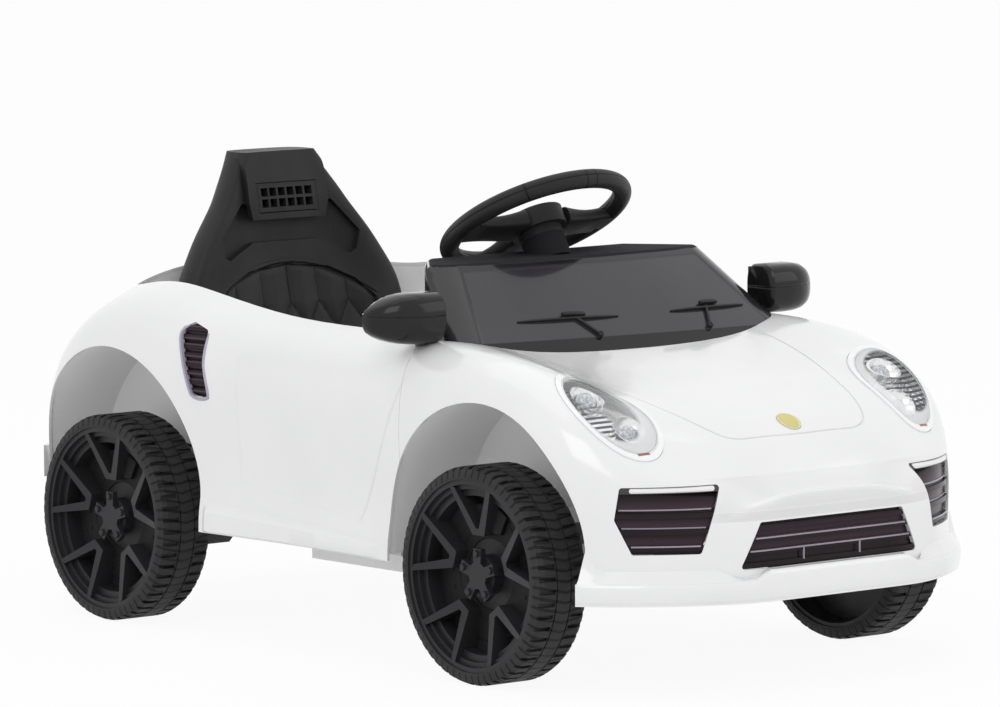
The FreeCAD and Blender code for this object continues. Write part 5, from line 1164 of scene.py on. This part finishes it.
# Rolled skin of the chin lip: a sloping ledge from the bumper out to a rounded front, flared at the arches.
# Its section: shares of the depth and the ledge with a drop, shares of the bulge below the top and above the
# foot, and the hidden back
lip = {"half": 0.2564, "top": 0.1160, "stepTop": 0.1250, "stepHalf": (0.092, 0.110), "low": 0.0940,
       "ledge": 0.0115, "flare": 0.026, "flareReach": 0.030, "squareReach": 0.022, "wallFrom": 0.119,
       "wallEase": 0.028, "wallShare": 3, "rollDeep": -0.006, "mostDeep": -0.0145, "bulge": 0.0016,
       "probe": 0.105, "probes": 400, "stations": 96, "lift": 0.0003, "away": 0.05, "sunk": 0.0008,
       "slopeShares": ((0.62, 0.45, 0.0), (0.20, 0.90, 0.0002)), "roll": ((0.2, 0.0018), (0.8, 0.0050)),
       "front": ((1.0, 0.0110), (0.8, 0.0045), (0.1, 0.0010)),
       "under": ((-0.0012, -0.0002), (-0.0018, 0.0010)), "back": (-0.0018, 0.0030)}


# Stations at even distances round the front of the lip, each with its distance from the nearer end
def lipPath(skin):
    spots = []
    for step in range(lip["probes"] + 1):
        x = lip["half"] * (2 * step / lip["probes"] - 1)
        spots.append(skin.ray_cast(ahead(x, lip["probe"]), axisY)[0])
    reach = [0.0]
    for first, second in zip(spots, spots[1:]):
        reach.append(reach[-1] + (second - first).length)
    path = []
    index = 0
    for step in range(lip["stations"] + 1):
        goal = reach[-1] * step / lip["stations"]
        while index < len(reach) - 2 and reach[index + 1] < goal:
            index += 1
        share = (goal - reach[index]) / (reach[index + 1] - reach[index])
        path.append((spots[index].lerp(spots[index + 1], share), min(goal, reach[-1] - goal)))
    return path


def within(value):
    return min(1.0, max(0.0, value))


# Section of the lip at a station: how far out and how high
def lipSection(skin, spot, toEnd, out):
    near, far = lip["stepHalf"]
    top = lip["stepTop"] + (lip["top"] - lip["stepTop"]) * within((abs(spot.x) - near) / (far - near))
    flare = within(1 - toEnd / lip["flareReach"]) ** 2
    ease = (1 - math.cos(math.pi * within((abs(spot.x) - lip["wallFrom"]) / lip["wallEase"]))) / 2
    ledge = lip["lift"] + lip["ledge"] * ease + lip["flare"] * flare
    deep = lip["rollDeep"]
    wall = skin.ray_cast(Vector((spot.x, spot.y, top + ledge)) + out * lip["away"], -out)[0]
    if wall and ease > 0:
        deep += (max(lip["mostDeep"], (wall - spot).dot(out)) - deep) * min(1.0, ease * lip["wallShare"])
    section = [(deep - lip["sunk"], top + ledge)]
    section += [(deep * share, top + ledge * (1 - fall) - drop) for share, fall, drop in lip["slopeShares"]]
    section += [(lip["bulge"] * share, top - drop) for share, drop in lip["roll"]]
    section += [(lip["bulge"] * share, lip["low"] + rise) for share, rise in lip["front"]]
    section += [(push, lip["low"] + rise) for push, rise in lip["under"]]
    push, drop = lip["back"]
    return section + [(push, top - drop), (deep - lip["sunk"], top - drop)]


def buildLip():
    skin = skinOf("front_body")
    path = lipPath(skin)
    work = bmesh.new()
    rings = []
    for index, (spot, toEnd) in enumerate(path):
        run = path[min(index + 1, len(path) - 1)][0] - path[max(index - 1, 0)][0]
        square = within(1 - toEnd / lip["squareReach"])
        aside = axisX * math.copysign(1, spot.x)
        out = Vector((run.y, -run.x, 0)).normalized().lerp(aside, square).normalized()
        rings.append([work.verts.new((spot.x + out.x * push, spot.y + out.y * push, z))
                      for push, z in lipSection(skin, spot, toEnd, out)])
    skinRings(work, rings)
    settle("lipRoll", work, "body_white", "car")
    print("lip:", len(rings), "stations")


# Door mirrors: each station is (out, low, high, front, back) of the pod, from its inner end to its tip;
# the stalk's stations are (share of its height, share of its half width)
mirror = {"stations": ((0.2185, 0.3390, 0.3785, -0.1810, -0.1490),
                       (0.2196, 0.3350, 0.3818, -0.1850, -0.1465),
                       (0.2225, 0.3325, 0.3838, -0.1878, -0.1450),
                       (0.2430, 0.3320, 0.3840, -0.1888, -0.1445),
                       (0.2580, 0.3325, 0.3840, -0.1880, -0.1440),
                       (0.2700, 0.3340, 0.3822, -0.1842, -0.1435),
                       (0.2800, 0.3368, 0.3780, -0.1778, -0.1432),
                       (0.2880, 0.3405, 0.3728, -0.1700, -0.1432),
                       (0.2940, 0.3450, 0.3680, -0.1612, -0.1434),
                       (0.2968, 0.3505, 0.3635, -0.1545, -0.1450)), "steps": 48, "frontRound": 0.78,
          "backRound": 0.42, "tallRound": 0.72, "stalkFoot": (0.228, -0.160, 0.322),
          "stalkRun": (0.004, 0.0, 0.018), "stalkHalf": 0.0075, "stalkCorner": 0.6,
          "stalkShares": ((0.0, 1.25), (0.25, 1.0), (0.7, 0.95), (1.0, 1.3)), "glassFrom": 0.2220,
          "glassTo": 0.294, "glassInset": 0.0036, "glassDeep": 0.002, "glassProud": 0.0006,
          "bevelShare": 0.02}


def podRing(work, side, station):
    out, low, high, front, back = station
    ring = []
    for step in range(mirror["steps"]):
        turn = step / mirror["steps"] * math.tau
        deep, tall = math.cos(turn), math.sin(turn)
        power = mirror["backRound"] if deep > 0 else mirror["frontRound"]
        y = (front + back) / 2 + math.copysign(abs(deep) ** power, deep) * (back - front) / 2
        z = (low + high) / 2 + math.copysign(abs(tall) ** mirror["tallRound"], tall) * (high - low) / 2
        ring.append(work.verts.new((side * out, y, z)))
    return ring


def buildMirrors():
    bevel, proud, deep = mirror["bevelShare"], mirror["glassProud"], -mirror["glassDeep"]
    section = ((0.0, deep), (0.0, 0.0), (bevel, proud), (1 - bevel, proud), (1.0, 0.0), (1.0, deep))
    for side, end in sides:
        flip = Vector((side, 1, 1))
        work = bmesh.new()
        skinRings(work, [podRing(work, side, station) for station in mirror["stations"]])
        stations = []
        for share, size in mirror["stalkShares"]:
            place = (Vector(mirror["stalkFoot"]) + Vector(mirror["stalkRun"]) * share) * flip
            half = mirror["stalkHalf"] * size
            stations.append((place, axisX * side, axisY, half, -half, half))
        rounded(work, stations, mirror["stalkCorner"])
        housing = settle("mirrorHousing" + end, work, "mirror_black", "car")
        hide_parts("mirror_housing_" + end.lower())
        work = bmesh.new()
        rings = []
        for out, low, high, front, back in mirror["stations"]:
            if mirror["glassFrom"] <= out <= mirror["glassTo"]:
                foot = low + mirror["glassInset"]
                tall = high - mirror["glassInset"] - foot
                spots = [(side * out, back + lift, foot + tall * share) for share, lift in section]
                rings.append([work.verts.new(spot) for spot in spots])
        skinRings(work, rings)
        glass = settle("mirrorGlass" + end, work, "mirror_silver", "car")
        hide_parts("mirror_glass_" + end.lower())
    print("mirrors:", len(sides))


# Rolled edges of the grilles' slats and the dividers of the centre grille, pale to paint the highlight along
# them,
# and the white light bars: half width, low and high of each bar, and the half width of the centre grille
# between its heights
trim = {"edge": (0.0008, -0.0003, 0.0012), "bar": (0.0022, -0.0003, 0.0014), "barTaper": 0.55,
        "barBits": 14, "grilleHalf": 0.118, "grilleLow": 0.125, "grilleHigh": 0.046, "grilleDraw": 0.2,
        "grilleBits": 16, "inset": 0.003}


def fogSpot(side, along, high):
    start, run, out = (Vector(fog[key]) for key in ("start", "run", "out"))
    spot = start + run * along + out * fog["away"]
    return Vector((side * spot.x, spot.y, high))


# Ends of a fog slat at a height, as distances along the grille
def slatEnds(high):
    share = (high - fog["low"]) / fog["high"]
    foot, knee, top = fog["outerShares"]
    outer = foot + (knee - foot) * share / fog["kneeShare"]
    if share >= fog["kneeShare"]:
        outer = knee + (top - knee) * (share - fog["kneeShare"]) / (1 - fog["kneeShare"])
    inner = fog["innerShare"] * (1 - share)
    return inner * fog["wide"] + fog["inset"], outer * fog["wide"] - fog["inset"]


def buildTrim():
    for side, end in sides:
        drop = Vector((-side * fog["out"][0], -fog["out"][1], 0))
        work = bmesh.new()
        skin = skinOf("fog_grille_" + end.lower())
        for high in grille["fogEdges"]:
            first, second = (fogSpot(side, along, high) for along in slatEnds(high))
            layBar(work, skin, first, second, drop, *trim["edge"])
        settle("fogEdges" + end, work, "paintedSlatHighlight", "car")
        work = bmesh.new()
        first, second = (fogSpot(side, strip[key], strip["high"]) for key in ("from", "to"))
        skin = skinOf("light_strip_" + end.lower())
        layBar(work, skin, first, second, drop, *trim["bar"], trim["barTaper"], trim["barBits"])
        settle("lightBar" + end, work, "strip_white", "car")
    work = bmesh.new()
    skin = skinOf("centre_grille")
    for high in grille["noseEdges"]:
        draw = trim["grilleDraw"] * (high - trim["grilleLow"]) / trim["grilleHigh"]
        half = trim["grilleHalf"] * (1 - draw) - trim["inset"]
        first, second = ahead(-half, high), ahead(half, high)
        layBar(work, skin, first, second, axisY, *trim["edge"], bits=trim["grilleBits"])
    top, foot = grille["dividerEnds"]
    for x in grille["dividers"]:
        layBar(work, skin, ahead(x, top), ahead(x, foot), axisY, *trim["edge"], bits=1)
    settle("grilleEdges", work, "paintedSlatHighlight", "car")
    print("slat edges and light bars laid")


# Cover strips over the seams between the deck under the dash and the front wheel wells
deck = {"out": 0.1522, "half": 0.0044, "rear": -0.1325, "front": -0.400, "high": 0.182, "sunk": -0.0006,
        "proud": 0.0016}


def buildDeckStrips():
    for side, end in sides:
        work = bmesh.new()
        sizes = (axisX, axisZ, deck["half"], deck["sunk"], deck["proud"])
        ends = [Vector((side * deck["out"], y, deck["high"])) for y in (deck["rear"], deck["front"])]
        rounded(work, [(place, *sizes) for place in ends])
        settle("deckStrip" + end, work, "pan_white", "car")
    print("deck strips:", len(sides))


# Studio: the floor and the world show white to the camera, and light the car at a plain level;
# each lamp has its place, size and power
studio = {"floorSize": 40, "floor": (0.92, 0.93), "floorNoise": 2.0, "white": 0.93, "world": 0.74,
          "aim": (0, 0, 0.25),
          "lamps": {"key": ((-3.2, -2.6, 3.0), 2.4, 34.0), "fill": ((2.8, -3.2, 2.0), 2.6, 18.0),
                    "top": ((0.0, 0.6, 3.6), 3.4, 20.0)}}


# 1 for rays that come from the camera, also by way of a reflection or through glass
def seenRays(tree):
    path = tree.nodes.new("ShaderNodeLightPath")
    total = path.outputs["Is Camera Ray"]
    for name in ("Is Glossy Ray", "Is Transmission Ray"):
        most = tree.nodes.new("ShaderNodeMath")
        most.operation = "MAXIMUM"
        tree.links.new(total, most.inputs[0])
        tree.links.new(path.outputs[name], most.inputs[1])
        total = most.outputs[0]
    return total


def buildFloor():
    bpy.ops.mesh.primitive_plane_add(size=studio["floorSize"])
    floor = bpy.context.object
    floor.name = "studioFloor"
    look = Look("studioFloor", Roughness=0.9, Specular_IOR_Level=0.0)
    fleck = look.spread(look.noise(studio["floorNoise"]), 0.0, 1.0)
    look.feed("Base Color", look.tint(fleck, *(grey(level) for level in studio["floor"])))
    glow = look.add("ShaderNodeEmission")
    share = Wire(look, seenRays(look.tree)) * studio["white"]
    mix = look.add("ShaderNodeMixShader", None, {0: share, 1: Wire(look, look.shader.outputs[0]), 2: glow})
    look.tree.links.new(mix.socket, look.tree.nodes["Material Output"].inputs[0])
    floor.data.materials.append(look.material)


def buildStudio():
    buildFloor()
    world = bpy.data.worlds.new("studioWorld")
    scene.world = world
    world.use_nodes = True
    tree = world.node_tree
    back = tree.nodes["Background"]
    back.inputs["Color"].default_value = grey(1)
    swap = tree.nodes.new("ShaderNodeMapRange")
    swap.inputs["To Min"].default_value = studio["world"]
    swap.inputs["To Max"].default_value = 1.0
    tree.links.new(seenRays(tree), swap.inputs["Value"])
    tree.links.new(swap.outputs[0], back.inputs["Strength"])
    for name, (place, size, power) in studio["lamps"].items():
        light = bpy.data.lights.new(name, "AREA")
        light.energy = power
        light.size = size
        obj = bpy.data.objects.new(name, light)
        obj.location = place
        obj.rotation_euler = (Vector(studio["aim"]) - Vector(place)).to_track_quat("-Z", "Y").to_euler()
        scene.collection.objects.link(obj)
    print("studio: floor and", len(studio["lamps"]), "lamps")


buildWipers()
buildProjectors()
buildBrakes(*boltTree())
buildLining()
buildVentFrames()
buildSpokes()
buildQuilting()
buildRibs()
buildSills()
buildLip()
buildMirrors()
buildTrim()
buildDeckStrips()
placeCamera()
buildStudio()
scene.view_settings.view_transform = "Standard"

print("done")
